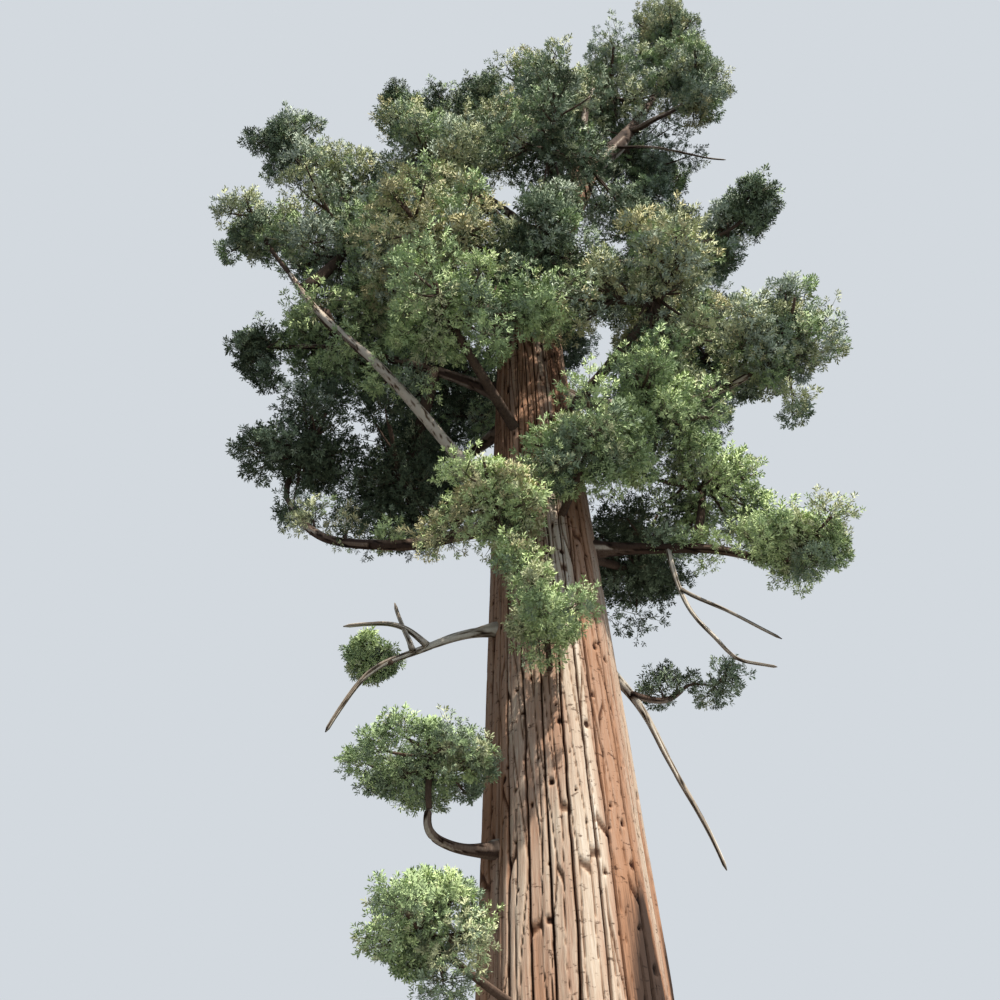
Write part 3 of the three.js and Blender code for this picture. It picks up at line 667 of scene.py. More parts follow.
def limb(line, thick, thin, rng, on_trunk, pale=0.0):
    """One limb with its collar and bark; returns points, triangles, relief and tint."""
    length = np.sum(np.linalg.norm(np.diff(line(np.linspace(0, 1, 40)), axis=0), axis=1))
    count = max(int(length / LIMB["step"]), 8)
    t = np.linspace(0, 1, count)
    path = wander(line(t), LIMB["wander"] * length, rng)
    r = thick + (thin - thick) * t ** LIMB["taper"]
    if on_trunk:
        r = r * (1 + LIMB["collar"] * np.exp(-np.maximum(0, off_trunk(path)) / LIMB["collar_reach"]))
    u, v = np.meshgrid(np.arange(LIMB["sides"]) / LIMB["sides"], t * length)
    seed = int(rng.integers(1 << 30))
    net, own = bark_relief(u, v, math.tau * r, LIMB["cells"], LIMB["tall"], LIMB["crack_width"], seed)
    lumps = lattice_noise(u, v * 2.4, 4, seed + 3) - 0.5
    radii = r[:, None] * (1 + LIMB["lumps"] * lumps - LIMB["crack_depth"] * (1 - net))
    radii[-1] *= LIMB["tip"]
    skin = tube_points(path[None], radii[None], LIMB["sides"]).reshape(-1, 3)
    return skin, tube_triangles(1, count, LIMB["sides"]), net.ravel(), own.ravel() + pale


def join(limbs):
    """Several limbs as one set of arrays."""
    points, triangles, relief, tint = zip(*limbs)
    shift = np.cumsum([0] + [len(p) for p in points[:-1]])
    triangles = [t + s for t, s in zip(triangles, shift)]
    return [np.concatenate(a) for a in (points, triangles, relief, tint)]


wood = {"bark": [], "dead_wood": []}
stands_for = {"bark": [], "dead_wood": []}
for k, (name, (parent, _, _, _, thick, thin, kind)) in enumerate(LIMBS.items()):
    rng = np.random.default_rng(SEED + 31 * k)
    wood[kind].append(limb(lines[name], thick, thin, rng, parent == "trunk", PALE.get(name, 0.0)))
    stands_for[kind].append(name)
for k, (parent, share, bend, tip, thick, thin, kind) in enumerate(SIDE_TWIGS):
    rng = np.random.default_rng(SEED + 977 + k)
    wood[kind].append(limb(bent_line(lines[parent](share), bend, tip), thick, thin, rng, False))

for name, kind, finish in (("boughs", "bark", BOUGH_BARK), ("dead_limbs", "dead_wood", DEAD_WOOD)):
    points, faces, net, own = join(wood[kind])
    dress(piece(name, points, faces, finish, net, own), kind, *stands_for[kind])

# %% [markdown]
# ## Masses of foliage
# The foliage of this tree isn't a skin: it stands in separate clumps, each at the end of its own
# branch, gathered into a few big masses with sky between them. Each mass has a middle, a
# half-width and a half-height, and keeps to its own space. That is bounded by flat walls, halfway
# between two masses of one size and nearer to the smaller of two that differ. A few seeded headings
# say where it swells into lumps. Those are the same numbers and the same seeded rule as the solids',
# so the finer growth fills the same shape.

# %% Masses
MASSES = {
    "top_spire": ["limb_spire", 1, (5.2, 0.9, 36.9), 1.3, 2.9, 4, "leaf_olive"],
    "top_right": ["limb_right_tip", 1, (5.3, -0.2, 31.5), 1.2, 1.9, 4, "leaf_olive"],
    "top_crest": ["limb_crest", 1, (2.9, 0.5, 32.8), 1.75, 2.3, 4, "leaf_olive"],
    "top_left_crest": ["limb_left_crest", 1, (0.7, -0.7, 30.1), 1.7, 2.1, 4, "leaf_olive"],
    "top_left_tip": ["limb_left_tip", 1, (-1.6, 0.2, 31.3), 1.55, 2.1, 4, "leaf_dark"],
    "knob_left": ["limb_left_tip", 0.8, (-3.5, 0.2, 33.0), 0.7, 0.75, 3, "leaf_dark"],
    "top_heart_right": ["limb_spire", 0.2, (3.5, 1.6, 30.5), 1.7, 2.4, 4, "leaf_dark"],
    "top_heart_left": ["trunk", 25.0, (0.9, -1.9, 25.2), 1.8, 2.2, 4, "leaf_dark"],
    "shoulder_left": ["trunk", 23.4, (-1.7, -1.6, 25.6), 2.0, 2.4, 4, "leaf_olive"],
    "front_heart": ["trunk", 20.4, (0.5, -1.75, 20.8), 1.4, 1.7, 4, "leaf_dark"],
    "plume_left": ["limb_plume", 1, (-6.1, -1.2, 28.1), 1.0, 1.05, 4, "leaf_dark"],
    "arm_left_up": ["limb_plume", 0.75, (-4.2, -0.6, 26.2), 1.6, 1.6, 4, "leaf_olive"],
    "tip_left": ["bough_left_big", 1, (-6.2, -1.2, 24.0), 1.1, 0.9, 4, "leaf_olive"],
    "fan_left": ["bough_left_big", 0.9, (-4.0, -1.1, 23.0), 2.0, 1.8, 4, "leaf_olive"],
    "gold_left": ["trunk", 19.3, (-1.8, -2.3, 20.8), 1.7, 1.8, 4, "leaf_gold"],
    "under_left": ["bough_left_big", 0.78, (-4.2, 0.2, 21.3), 1.8, 1.5, 4, "leaf_green"],
    "green_left": ["trunk", 16.4, (-1.4, -2.7, 17.6), 1.5, 1.5, 4, "leaf_green"],
    "dark_tip": ["bough_dark_tip", 1, (-6.0, -0.2, 20.5), 0.75, 0.5, 3, "leaf_dark"],
    "dark_left_out": ["bough_left_mid", 1, (-4.9, 0.8, 18.0), 1.5, 1.9, 4, "leaf_dark"],
    "dark_left_in": ["bough_dark_tip", 0.35, (-3.0, 1.9, 17.8), 1.9, 2.2, 4, "leaf_dark"],
    "front_left": ["trunk", 12.6, (-0.7, -2.3, 13.0), 1.05, 1.0, 4, "leaf_green"],
    "front_right": ["trunk", 14.0, (0.9, -1.9, 14.5), 1.15, 1.05, 4, "leaf_green"],
    "front_low": ["trunk", 10.6, (0.0, -2.1, 10.9), 0.8, 0.6, 3, "leaf_green"],
    "right_green": ["trunk", 15.2, (2.2, -1.2, 16.0), 1.45, 1.5, 4, "leaf_green"],
    "right_olive": ["trunk", 16.8, (2.6, -1.8, 18.7), 1.75, 1.8, 4, "leaf_gold"],
    "right_thin": ["bough_right_thin", 1, (5.3, -0.6, 23.7), 0.95, 0.9, 4, "leaf_dark"],
    "right_out": ["bough_right_up", 1, (5.3, -0.1, 19.1), 1.4, 2.0, 4, "leaf_olive"],
    "right_heart": ["bough_right_up", 0.55, (3.7, 1.7, 20.8), 2.0, 2.3, 4, "leaf_dark"],
    "right_low": ["bough_right_big", 0.65, (3.1, 0.3, 15.6), 1.3, 1.15, 4, "leaf_green"],
    "right_arm": ["bough_right_big", 1, (4.3, -0.3, 13.4), 1.1, 0.85, 4, "leaf_green"],
    "right_shade": ["trunk", 14.4, (1.7, 2.2, 15.4), 1.45, 1.8, 4, "leaf_dark"],
    "right_twig": ["twig_right_low", 1, (2.7, 1.0, 11.6), 0.42, 0.28, 3, "leaf_dark"],
    "low_twig": ["dead_left", 0.62, (-2.8, -0.9, 11.2), 0.52, 0.38, 3, "leaf_green"],
    "low_dome": ["bough_low", 1, (-1.7, -1.6, 8.8), 1.0, 0.42, 4, "leaf_green"],
    "low_bush": ["trunk", 5.7, (-1.6, -2.3, 6.2), 0.85, 0.85, 4, "leaf_green"],
    "back_left": ["bough_back_left", 1, (-2.2, 3.2, 21.8), 2.2, 2.6, 4, "leaf_dark"],
    "back_mid": ["bough_back_mid", 1, (0.4, 3.4, 26.2), 2.3, 2.8, 4, "leaf_dark"],
    "back_up": ["bough_back_up", 1, (-3.3, 2.5, 27.6), 2.2, 2.8, 4, "leaf_dark"],
    "back_right": ["bough_right_thin", 0.6, (3.7, 1.7, 25.0), 1.8, 2.3, 4, "leaf_dark"],
}
SQUASH = np.array([1.0, 1.0, 1.2])
names = list(MASSES)
middles = np.array([MASSES[n][2] for n in names])
halves = np.array([MASSES[n][3] for n in names])


def walls_of(k):
    """Flat walls between a mass and its neighbours: outward normals and their offsets."""
    seen = middles * SQUASH
    across = seen - seen[k]
    apart = np.linalg.norm(across, axis=1)
    near = (apart > 0) & (apart < 2.2 * (halves + halves[k]))
    across, apart, size = across[near], apart[near], halves[near]
    share = 0.5 + (halves[k] ** 2 - size ** 2) / (2 * apart ** 2)
    plain = across / apart[:, None]
    at = plain @ seen[k] + share * apart
    normal = plain * SQUASH
    scale = np.linalg.norm(normal, axis=1)
    return normal / scale[:, None], at / scale


def past_walls(walls, points):
    """How far points lie beyond the nearest wall; negative is inside."""
    return np.max(points @ walls[0].T - walls[1], axis=-1)


def heading(turn_, lift):
    return np.array([math.cos(turn_) * math.cos(lift), math.sin(turn_) * math.cos(lift), math.sin(lift)])


def lump_headings(k, lumps):
    """Where a mass swells: one heading up, the others spread round it."""
    roll = dice(SEED + 101 * k)
    first = math.tau * roll()
    made_ = []
    for c in range(lumps - 1):
        made_.append(heading(first + math.tau * (c + 0.4 * roll()) / (lumps - 1), 0.5 * roll()))
    return np.array(made_ + [heading(first, 1.3)])


print(len(names), "masses")

# %% [markdown]
# ## Clouds of foliage
# Up close a mass is no ball. It is a heap of smaller rounded clouds, each on an arm of its own, with
# dark valleys between them and a few arms that stand out further than the rest. So each mass first
# gets its clouds: some along its heart, one in every lump of the solid, and more spread round it, the
# smaller ones further out. Where two masses nearly touch, their outer branches close the gap, so
# one more cloud sits there on each side of the wall. A few small ones, the tufts, sit along boughs
# and a twig, and two masses behind the trunk reach out further on the side that is turned away.

# %% Clouds
CLOUDS = 8
CLOSE = 1.0
SHOOTS_OUT = 0.12
HEART_SPREAD, HEART_SIZE = 0.55, 0.6
CLOUD_SIZES = (0.2, 0.5)
WALL_SIZE, WALL_OFF = 0.5, 0.4
TUFT_SIZE, TUFT_LIFT = 0.25, (0, 0, 0.2)
FAR_BACK = {"back_left": 0.3, "back_mid": 0.3}
TUFTS = {"bough_left_big": (0.5, 0.62, 0.8), "bough_left_mid": (0.45, 0.62, 0.78, 0.92),
         "bough_dark_tip": (0.6, 0.75, 0.9), "bough_right_big": (0.5, 0.62, 0.8),
         "bough_right_up": (0.6, 0.8), "twig_right_low": (0.5, 0.8)}
rng = np.random.default_rng(SEED)
stretches = np.array([(MASSES[n][3], MASSES[n][3], MASSES[n][4]) for n in names])
thicknesses = np.minimum(halves, 1.3 * stretches[:, 2])
clouds = []


def spread(count, rng_, shake):
    """Even directions on a ball, shaken a little."""
    k = np.arange(count) + 0.5
    lift = 1 - 2 * k / count
    turn_ = math.pi * (1 + 5 ** 0.5) * k + rng_.uniform(0, math.tau)
    flat = np.sqrt(1 - lift * lift)
    even = np.stack([flat * np.cos(turn_), flat * np.sin(turn_), lift], 1)
    return even + rng_.normal(0, shake, (count, 3))


for k, (name, thick, stretch) in enumerate(zip(names, thicknesses, stretches)):
    heads = lump_headings(k, MASSES[name][5])
    hearts = max(1, int(2 * stretch[2] / halves[k]) - 1)
    for lift in np.linspace(-HEART_SPREAD, HEART_SPREAD, hearts) if hearts > 1 else [0.0]:
        clouds.append((middles[k] + [0, 0, lift * stretch[2]], HEART_SIZE * thick, k, None))
    more = max(6, int(CLOUDS * np.prod(stretch) / thick ** 3))
    for i, way in enumerate(np.concatenate([heads, unit(spread(more, rng, 0.3))])):
        share = rng.uniform(*CLOUD_SIZES)
        far = rng.uniform(0.95, 1.15) + 0.9 * (0.32 - share) + (0.06 if i < len(heads) else 0)
        far += FAR_BACK.get(name, 0.0) * max(way[1], 0.0)
        reach = stretch * [1, 1, 0.88 if way[2] < 0 else 1] + (far - 1) * thick
        at = middles[k] + way * np.maximum(reach - thick * share - SHOOTS_OUT, 0.1)
        clouds.append((at, thick * share, k, None))

for i in range(len(names)):
    for j in range(i):
        apart = middles[j] - middles[i]
        far = np.linalg.norm(apart)
        way = apart / far
        fill = [1 / np.linalg.norm(way / stretches[m]) for m in (i, j)]
        if far - sum(fill) < CLOSE:
            at = middles[i] + way * (fill[0] + 0.5 * (far - sum(fill)))
            size = WALL_SIZE * min(thicknesses[i], thicknesses[j])
            off = WALL_OFF * size * way
            clouds += [(at - off, size, i, None), (at + off, size, j, None)]

for name, places in TUFTS.items():
    for foot in lines[name](places):
        near = np.sum(((middles - foot) * SQUASH) ** 2, axis=1) - halves ** 2
        clouds.append((foot + TUFT_LIFT, TUFT_SIZE, int(np.argmin(near)), foot))
cloud_foot = [cloud[3] for cloud in clouds]
cloud_at, cloud_size, cloud_mass = (np.array([cloud[part] for cloud in clouds]) for part in range(3))
print(len(clouds), "clouds")

# %% [markdown]
# ## Clumps
# Each cloud carries its clumps, domes of shoots about a metre across, thrown at random into its
# outer part. One is kept only if it is clear of its mass's walls, the trunk and every clump so far.
# That spacing leaves the small dark gaps, with a bit of sky here and there, that make the crown look
# like foliage and not felt.

# %% Clumps
CLUMP = 0.56
CLUMP_SIZES = (0.55, 1.2)
CLUMP_SPACING = 0.94
TRIES_PER_CLOUD = 30
MOST_CLUMPS = 4000
TOP = 40.0
clumps = 0
clump_at = np.empty((MOST_CLUMPS, 3))
clump_size = np.empty(MOST_CLUMPS)
clump_mass, clump_cloud = np.empty((2, MOST_CLUMPS), int)


def crowded(at, own):
    """Whether a new clump would sit too close to one that is there already."""
    gap = np.linalg.norm((clump_at[:clumps] - at) * [1, 1, 1.25], axis=1)
    return np.any(gap < CLUMP_SPACING * 0.5 * (clump_size[:clumps] + own))


for k in range(len(names)):
    walls = walls_of(k)
    size = CLUMP * min(1.0, 0.42 + 0.33 * thicknesses[k])
    mine = np.nonzero(cloud_mass == k)[0]
    for c in rng.permutation(np.repeat(mine, TRIES_PER_CLOUD)):
        own = size * rng.uniform(*CLUMP_SIZES)
        way = unit(rng.normal(size=3)) * [1, 1, 0.85]
        room = max(cloud_size[c] - 0.7 * own, 0.15 * cloud_size[c])
        at = cloud_at[c] + way * room * (0.35 + 0.65 * rng.random() ** 0.4)
        on_trunk = off_trunk(at) < 0.35 * own and at[2] < TRUNK["fork"]
        if on_trunk or past_walls(walls, at) > -0.2 * own or at[2] > TOP - 0.6 * own or crowded(at, own):
            continue
        clump_at[clumps], clump_size[clumps] = at, own
        clump_mass[clumps], clump_cloud[clumps] = k, c
        clumps += 1
clump_at, clump_size, clump_mass, clump_cloud = (
    a[:clumps] for a in (clump_at, clump_size, clump_mass, clump_cloud))
print(clumps, "clumps")

# %% [markdown]
# ## Branches
# A stem runs from the bough's tip, or from the trunk, to the middle of its mass. From there a
# branch goes out into each lump, and each clump's own branch leaves the nearest of those, or the
# bough itself where it is a tuft. Most of them sag a little before they rise, as boughs do that
# have carried weight for centuries.

# %% Branches
BRANCH_SIDES = 5
BRANCH_STEPS = 5
STEM_THICK = 0.085
LUMP_REACH = 0.8
BRANCH_PLATE, BRANCH_TINT = 0.8, 0.5


def curved(a, b, c, steps):
    """Many bent lines at once, as points (line, step, xyz)."""
    t = np.linspace(0, 1, steps)[None, :, None]
    return a[:, None] * (1 - t) ** 2 + b[:, None] * 2 * t * (1 - t) + c[:, None] * t * t


def lower(metres):
    """A shift straight down."""
    return np.array([0, 0, -metres])


branches = []
for k, name in enumerate(names):
    parent, where, middle, half, high, lumps, _ = MASSES[name]
    heart = np.array(middle)
    root = trunk_axis(where) if parent == "trunk" else lines[parent](where)
    if where == 1:
        bend, thick = root + (root - lines[parent](5 / 6)) * 1.2, 0.85 * LIMBS[parent][5]
    else:
        bend, thick = root * 0.4 + heart * 0.6 + lower(0.15 * half), STEM_THICK * half
    branches.append((root, bend, heart, thick, 0.05 * half))
    heads = lump_headings(k, lumps)
    lump_ends = heart + heads * np.array([half, half, high]) * LUMP_REACH
    branches += [(heart, heart * 0.5 + end_ * 0.5 + lower(0.06 * half), end_, 0.045 * half, 0.02 * half)
                 for end_ in lump_ends]
    for c in np.nonzero(clump_mass == k)[0]:
        at, own, foot = clump_at[c], clump_size[c], cloud_foot[clump_cloud[c]]
        if foot is None:
            out = at - heart
            best = int(np.argmax(heads @ unit(out)))
            along = np.dot(out, heads[best]) / (np.linalg.norm(lump_ends[best] - heart) + 1e-6)
            share = np.clip(along, 0.1, 1) * 0.6
            foot = heart * (1 - share) + lump_ends[best] * share
        sag = at * 0.55 + foot * 0.45 + lower(0.14 * np.linalg.norm(at - foot))
        branches.append((foot, sag, at, 0.03 + 0.018 * own, 0.016))

froms, bends, tos, thick, thin = (np.array(a) for a in zip(*branches))
paths = curved(froms, bends, tos, BRANCH_STEPS)
share = np.linspace(0, 1, BRANCH_STEPS)[None] ** 0.8
radii = thick[:, None] * (1 - share) + thin[:, None] * share
points = tube_points(paths, radii[..., None], BRANCH_SIDES).reshape(-1, 3)
faces = tube_triangles(len(paths), BRANCH_STEPS, BRANCH_SIDES)
made = piece("branches", points, faces, BOUGH_BARK, np.full(len(points), BRANCH_PLATE),
             np.full(len(points), BRANCH_TINT))
dress(made, "bark", *names)

# %% [markdown]
# ## Sprays
# Each clump is a dome of sprays, thin twigs that leave its heart on all sides, more of them up and
# outwards than down, and rise a little towards their tips. A clump that others crowd on every side
# gets few sprays, and one that stands free gets many.

# %% Sprays
FEW_SPRAYS, MANY_SPRAYS = 5, 13
CROWD = 2.2
SPRAY_SIZES = (0.6, 1.0)
FLATTER = np.array([1.0, 1.0, 0.72])
TO_LIGHT = np.array([0, 0, 0.12])
TWIG_ROOT, TWIG_TIP = 0.012, 0.004


def fineness(height):
    """Growth low down is seen from close by, so it is drawn finer: 1 in the crown, less below."""
    return np.clip(0.40 + 0.03 * np.asarray(height), 0.5, 1.0)


rng = np.random.default_rng(SEED + 2)
sprays = []
for c, (at, own) in enumerate(zip(clump_at, clump_size)):
    gaps = clump_at - at
    far = np.linalg.norm(gaps, axis=1)
    near = (far > 0) & (far < CROWD)
    free = -np.mean(gaps[near] / far[near, None], axis=0) if near.any() else np.zeros(3)
    open_ = float(smooth_step(0.1, 0.42, np.linalg.norm(free)))
    count = int(round((FEW_SPRAYS + (MANY_SPRAYS - FEW_SPRAYS) * open_) / fineness(at[2]) ** 1.8))
    ways = unit(spread(count, rng, 0.25) * [1, 1, 0.85] + 0.8 * free + TO_LIGHT)
    roots = at + ways * own * 0.1 + rng.normal(0, 0.16 * own, (count, 3))
    sizes = own * rng.uniform(*SPRAY_SIZES, count)
    sprays.append((roots, ways, sizes, np.full(count, c), np.full(count, open_)))
spray_root, spray_way, spray_size, spray_clump, spray_open = (np.concatenate(a) for a in zip(*sprays))
reach = spray_size[:, None] * FLATTER
spray_end = spray_root + spray_way * reach + TO_LIGHT * spray_size[:, None]
spray_bend = spray_root + 0.5 * spray_way * reach
spray_fine = fineness(spray_root[:, 2])
twigs = np.stack([spray_root, spray_end], axis=1)
twig_radii = np.array([TWIG_ROOT, TWIG_TIP])[None, :, None] * spray_fine[:, None, None]
points = tube_points(twigs, twig_radii, 3).reshape(-1, 3)
green_bark = mottled("twig_green_bark", 2.0, [(0.35, "#4A4E39"), (0.65, "#65654E")], Roughness=0.8)
dress(piece("twigs", points, tube_triangles(len(twigs), 2, 3), green_bark), "bark", *names)

# %% [markdown]
# ## Leafy shoots
# A shoot is a little rounded plume: ten slim pointed blades that leave its stalk on all sides and
# lean ahead, each one triangle, pointed at both ends. The real scale leaves are millimetres long,
# far too fine and too many, so a blade here stands for a cord of them and is drawn larger than
# life. Four variants are modelled once, and Geometry Nodes set them on more than a hundred thousand
# points. Every point holds its turn and its size. The copies are made real, because an export leaves
# copies out.

# %% Shoot variants
VARIANTS = 4
BLADES = 10
BLADE_WIDTH = 0.27
BLADE_LENGTHS = (0.46, 0.58)
BLADE_LEANS = (30, 74)
FIRST_LEAN = 8
GOLDEN_TURN = 2.4


def shoot_mesh(name, seed):
    """Slim blades round +Y, one unit long in all. The first one goes on from the stalk's end."""
    rng_ = np.random.default_rng(seed)
    corners = []
    for k in range(BLADES):
        length = rng_.uniform(*BLADE_LENGTHS)
        open_ = math.radians(FIRST_LEAN if k == 0 else rng_.uniform(*BLADE_LEANS))
        round_ = k * GOLDEN_TURN + rng_.uniform(-0.4, 0.4)
        side_way = np.array([math.cos(round_), 0, math.sin(round_)])
        way = side_way * math.sin(open_) + np.array([0, math.cos(open_), 0])
        tilt = rng_.normal(size=3)
        tilt = unit(tilt - way * np.dot(tilt, way)) * BLADE_WIDTH * length
        foot = np.array([0, 0.44 if k == 0 else 0.04 + 0.045 * k, 0])
        corners += [foot, foot + way * 0.62 * length + tilt, foot + way * length]
    mesh = bpy.data.meshes.new(name)
    mesh.from_pydata([tuple(c) for c in corners], [], [(3 * k, 3 * k + 1, 3 * k + 2) for k in range(BLADES)])
    return bpy.data.objects.new(name, mesh)


shoots = bpy.data.collections.new("shoot_variants")
for k in range(VARIANTS):
    shoots.objects.link(shoot_mesh(f"shoot_{k}", SEED + 50 + k))
print(VARIANTS, "shoots of", BLADES, "blades")

# %% Geometry Nodes that set shoots on points
def shoot_tree():
    tree = bpy.data.node_groups.new("set shoots on points", "GeometryNodeTree")
    for name, way, kind in (("Points", "INPUT", "Geometry"), ("Shoots", "INPUT", "Collection"),
                            ("Leaf colour", "INPUT", "Material"), ("Shoot length", "INPUT", "Float"),
                            ("Geometry", "OUTPUT", "Geometry")):
        tree.interface.new_socket(name, in_out=way, socket_type="NodeSocket" + kind)
    given = add(tree, "NodeGroupInput").outputs
    turn_, size_, kind_ = (
        add(tree, "GeometryNodeInputNamedAttribute", {"Name": name}, data_type=kind).outputs["Attribute"]
        for name, kind in (("turn", "QUATERNION"), ("size", "FLOAT"), ("kind", "INT")))
    variants = add(tree, "GeometryNodeCollectionInfo", {"Collection": given["Shoots"],
                                                        "Separate Children": True, "Reset Children": True})
    length = add(tree, "ShaderNodeMath", {0: size_, 1: given["Shoot length"]}, operation="MULTIPLY")
    copies = add(tree, "GeometryNodeInstanceOnPoints", {
        "Points": given["Points"], "Instance": variants.outputs["Instances"], "Pick Instance": True,
        "Instance Index": kind_, "Rotation": turn_, "Scale": length.outputs["Value"]})
    real = add(tree, "GeometryNodeRealizeInstances", {"Geometry": copies.outputs["Instances"]})
    painted = add(tree, "GeometryNodeSetMaterial", {"Geometry": real.outputs["Geometry"],
                                                    "Material": given["Leaf colour"]})
    add(tree, "NodeGroupOutput", {"Geometry": painted.outputs["Geometry"]})
    return tree


SET_SHOOTS = shoot_tree()
IDENTIFIERS = {item.name: item.identifier for item in SET_SHOOTS.interface.items_tree}
print("inputs:", ", ".join(IDENTIFIERS))

# %% [markdown]
# ## Leaf colours
# In the sun the young tips are a fresh green, older foliage is olive or greyish, and one or two
# clumps run to yellow. What has a place in the crown, such as those gold clumps, is dealt out by
# clump and by spray from a palette for each mass, with one plain paint for each colour. The two
# darkest paints, deep and shade, are painted shade: they go mostly to masses in the crown's shade,
# to the low masses and to crowded sprays inside the crown. A faint mottling of each paint stands for
# shoots of differing age. The leaves are waxy scales, matte from afar.

# %% Leaf materials
# deep and shade are darker copies of the greens, used as painted shade.
LEAVES = {
    "deep": ("#4A5641", "#55624E", "leaf_dark"),
    "shade": ("#78886F", "#85957D", "leaf_dark"),
    "moss": ("#8EA276", "#9CB085", "leaf_green"),
    "bright": ("#A5B783", "#B3C593", "leaf_green"),
    "olive": ("#A4AA86", "#B0B693", "leaf_olive"),
    "sage": ("#99A595", "#A5B1A1", "leaf_olive"),
    "gold": ("#AEAA84", "#BAB690", "leaf_gold"),
}
PALETTES = {
    "leaf_dark": {"deep": 0.38, "shade": 0.34, "moss": 0.1, "sage": 0.12, "olive": 0.06},
    "leaf_green": {"bright": 0.42, "moss": 0.34, "olive": 0.12, "shade": 0.12},
    "leaf_olive": {"olive": 0.36, "sage": 0.24, "moss": 0.18, "shade": 0.17, "gold": 0.05},
    "leaf_gold": {"gold": 0.34, "olive": 0.34, "sage": 0.16, "moss": 0.16},
    "shaded": {"deep": 0.72, "shade": 0.24, "sage": 0.04},
    "low": {"moss": 0.42, "shade": 0.3, "bright": 0.16, "olive": 0.12},
    "straw": {"bright": 0.46, "olive": 0.34, "gold": 0.2},
}
# The shaded and low palettes are painted shade: for masses in the crown's shade, and for the low masses in
# partial shade.
OWN_PALETTE = {"dark_left_out": "shaded", "dark_left_in": "shaded", "dark_tip": "shaded",
               "right_shade": "shaded", "low_bush": "low", "low_dome": "low", "low_twig": "low",
               "front_left": "straw"}
MOTTLES_PER_METRE = 1.6
leaf_paint = {name: mottled(f"scale_leaf_{name}", MOTTLES_PER_METRE, [(0.35, dark), (0.65, light)],
                            Roughness=0.8, Specular_IOR_Level=0.15)
              for name, (dark, light, _) in LEAVES.items()}
print(len(leaf_paint), "leaf colours")

# %% [markdown]
# ## Setting the shoots
# Four shoots sit beside the outer part of each spray, turned about it by the golden angle and tipped
# outwards, and a fifth sits at its very end. A shoot is modelled along +Y. It is turned about itself
# by any angle, of which a quaternion holds the half, and then +Y is laid along its axis.

# %% Shoots along the sprays
SHOOT = 0.21
PLACES = np.array([0.38, 0.56, 0.74, 0.9, 1.0])
SHOOT_TOP = 39.85
CLEAR_OF_BARK = 0.02
SHOOT_LEANS = (28, 58)
END_LEAN = 0.1
SHOOT_SIZES = (0.8, 1.15)
rng = np.random.default_rng(SEED + 3)
n = len(twigs)
grid = (n, len(PLACES))
t = PLACES[None, :, None]
at = (spray_root[:, None] * (1 - t) ** 2 + spray_bend[:, None] * 2 * t * (1 - t) + spray_end[:, None] * t * t)
along = unit(2 * (1 - t) * (spray_bend - spray_root)[:, None] + 2 * t * (spray_end - spray_bend)[:, None])
side = unit(np.cross(along, rng.normal(size=(n, 1, 3)) + [0, 0, 0.5]))
up = np.cross(side, along)
turn_round = GOLDEN_TURN * np.arange(len(PLACES))[None] + rng.uniform(0, math.tau, (n, 1))
tip = np.tan(np.radians(rng.uniform(*SHOOT_LEANS, grid)))
tip[:, -1] = END_LEAN
leaning = side * np.cos(turn_round)[..., None] + up * np.sin(turn_round)[..., None]
axis = unit(along + leaning * tip[..., None] + TO_LIGHT)
shoot_size = rng.uniform(*SHOOT_SIZES, grid) * spray_fine[:, None]

half_turn = rng.uniform(0, math.pi, grid)
lay = unit(np.concatenate([1.0001 + axis[..., 1:2], np.cross([0.0, 1.0, 0.0], axis)], axis=-1))
c, s = np.cos(half_turn), np.sin(half_turn)
w, x, y, z = (lay[..., i] for i in range(4))
turns = np.stack([w * c - y * s, x * c - z * s, w * s + y * c, x * s + z * c], axis=-1).reshape(-1, 4)
print(grid[0], "sprays with", grid[1], "shoots each")

# %% [markdown]
# The colour is dealt by clump, and about a third of the sprays take another one from the same
# palette, so that neighbouring tones mix. Sprays deep inside the crown, crowded on all sides, take
# the darkest paint as painted shade. Shoots that would stand in the trunk or above the tree's tip are
# left out.

# %% Colours of the sprays
ODD_SPRAYS = 0.35
spray_mass = clump_mass[spray_clump]
colour_names = list(LEAVES)
palettes = [PALETTES[OWN_PALETTE.get(name, MASSES[name][6])] for name in names]
clump_colour = np.array([rng.choice(colour_names, p=[palettes[k].get(q, 0) for q in colour_names])
                         for k in clump_mass])
spray_colour = clump_colour[spray_clump]
for i in np.nonzero(rng.random(n) < ODD_SPRAYS)[0]:
    palette = palettes[spray_mass[i]]
    spray_colour[i] = rng.choice(list(palette), p=list(palette.values()))
# Painted shade: sprays crowded on all sides take the darkest paint.
spray_colour[rng.random(n) > 0.25 + 1.5 * spray_open] = "deep"

beside = leaning * (1 - t ** 3) * rng.uniform(0.1, 0.5, (*grid, 1)) * spray_size[:, None, None]
shoot_at = (at + beside).reshape(-1, 3)
clear = (off_trunk(shoot_at) > CLEAR_OF_BARK) | (shoot_at[:, 2] > TRUNK["fork"])
clear &= shoot_at[:, 2] < SHOOT_TOP
print(len(shoot_at), "shoots,", int(np.sum(~clear)), "of them left out")

# %% [markdown]
# ## Leaf pieces
# Flat blades that are lit each by its own direction look like confetti. Foliage looks soft because
# every heap of it is bright on its sunny side and dark on the other. So each blade's normal is mixed
# half and half from its own and from the way out of its clump and its cloud, and the blade is wound
# so that its front looks outwards too. No piece has more than 200,000 triangles.

# %% Leaf pieces
MOST_SHOOTS = 19900
FLUFF = 0.5
CLOUD_SHARE = 0.8

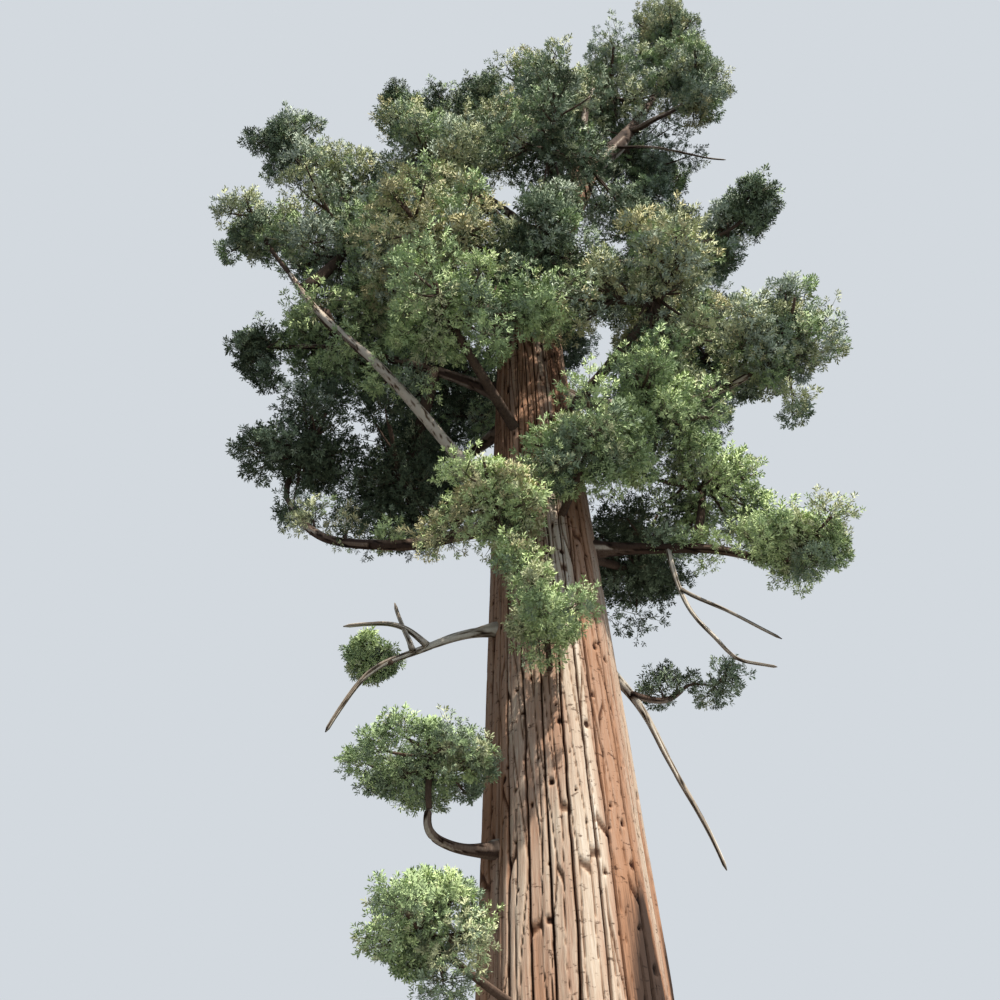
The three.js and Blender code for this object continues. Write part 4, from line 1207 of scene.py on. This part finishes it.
shoot_spray = np.repeat(np.arange(n), len(PLACES))
own_clump = spray_clump[shoot_spray]
own_cloud = clump_cloud[own_clump]
outward = unit((shoot_at - clump_at[own_clump]) * [1, 1, 1.3] / clump_size[own_clump, None]
               + CLOUD_SHARE * (shoot_at - cloud_at[own_cloud]) / cloud_size[own_cloud, None] + [0, 0, 0.1])


def grow(chosen, colour):
    """Lets Geometry Nodes set the chosen shoots; returns corners, triangles and outward ways."""
    mesh = bpy.data.meshes.new("points")
    mesh.vertices.add(len(chosen))
    mesh.vertices.foreach_set("co", np.ascontiguousarray(shoot_at[chosen], np.float32).ravel())
    for title, kind, values in (("turn", "QUATERNION", turns), ("size", "FLOAT", shoot_size.ravel()),
                                ("outward", "FLOAT_VECTOR", outward)):
        give(mesh, title, kind, values[chosen])
    give(mesh, "kind", "INT", chosen * 7 % VARIANTS)
    seeds = put("points", mesh)
    grower = seeds.modifiers.new("shoots", "NODES")
    grower.node_group = SET_SHOOTS
    for name, value in (("Shoots", shoots), ("Leaf colour", leaf_paint[colour]), ("Shoot length", SHOOT)):
        grower[IDENTIFIERS[name]] = value
    grown = bpy.data.meshes.new_from_object(seeds.evaluated_get(bpy.context.evaluated_depsgraph_get()))
    corners, away = np.empty((2, len(grown.vertices), 3), np.float32)
    triangles = np.empty((len(grown.polygons), 3), np.int32)
    grown.vertices.foreach_get("co", corners.ravel())
    grown.loops.foreach_get("vertex_index", triangles.ravel())
    grown.attributes["outward"].data.foreach_get("vector", away.ravel())
    seeds.modifiers.remove(grower)
    bpy.data.objects.remove(seeds)
    bpy.data.meshes.remove(grown)
    return corners, triangles, away


def leaf_piece(name, chosen, colour):
    """One piece of up to MOST_SHOOTS shoots in one colour, wound and lit outwards."""
    corners, triangles, away = grow(chosen, colour)
    a, b, c = (corners[triangles[:, i]] for i in range(3))
    own = unit(np.cross(b - a, c - a))
    inward = np.sum(own * away[triangles[:, 0]], axis=1) < 0
    triangles[inward] = triangles[inward][:, ::-1]
    own[inward] *= -1
    lit = np.zeros_like(corners)
    for corner in range(3):
        lit[triangles[:, corner]] = own
    made_ = piece(name, corners, triangles, leaf_paint[colour])
    made_.data.normals_split_custom_set_from_vertices(unit(FLUFF * away + (1 - FLUFF) * lit))
    return made_


leaf_total = 0
for colour, (_, _, slot) in LEAVES.items():
    chosen = np.nonzero((spray_colour[shoot_spray] == colour) & clear)[0]
    for part, some in enumerate(np.array_split(chosen, math.ceil(len(chosen) / MOST_SHOOTS))):
        made = leaf_piece(f"leaves_{colour}_{part + 1}", some, colour)
        dress(made, slot, *sorted({names[k] for k in spray_mass[shoot_spray[some]]}))
        leaf_total += len(made.data.polygons)
for helper in list(shoots.objects):
    bpy.data.objects.remove(helper)
bpy.data.collections.remove(shoots)
print("leaf triangles in all:", leaf_total)
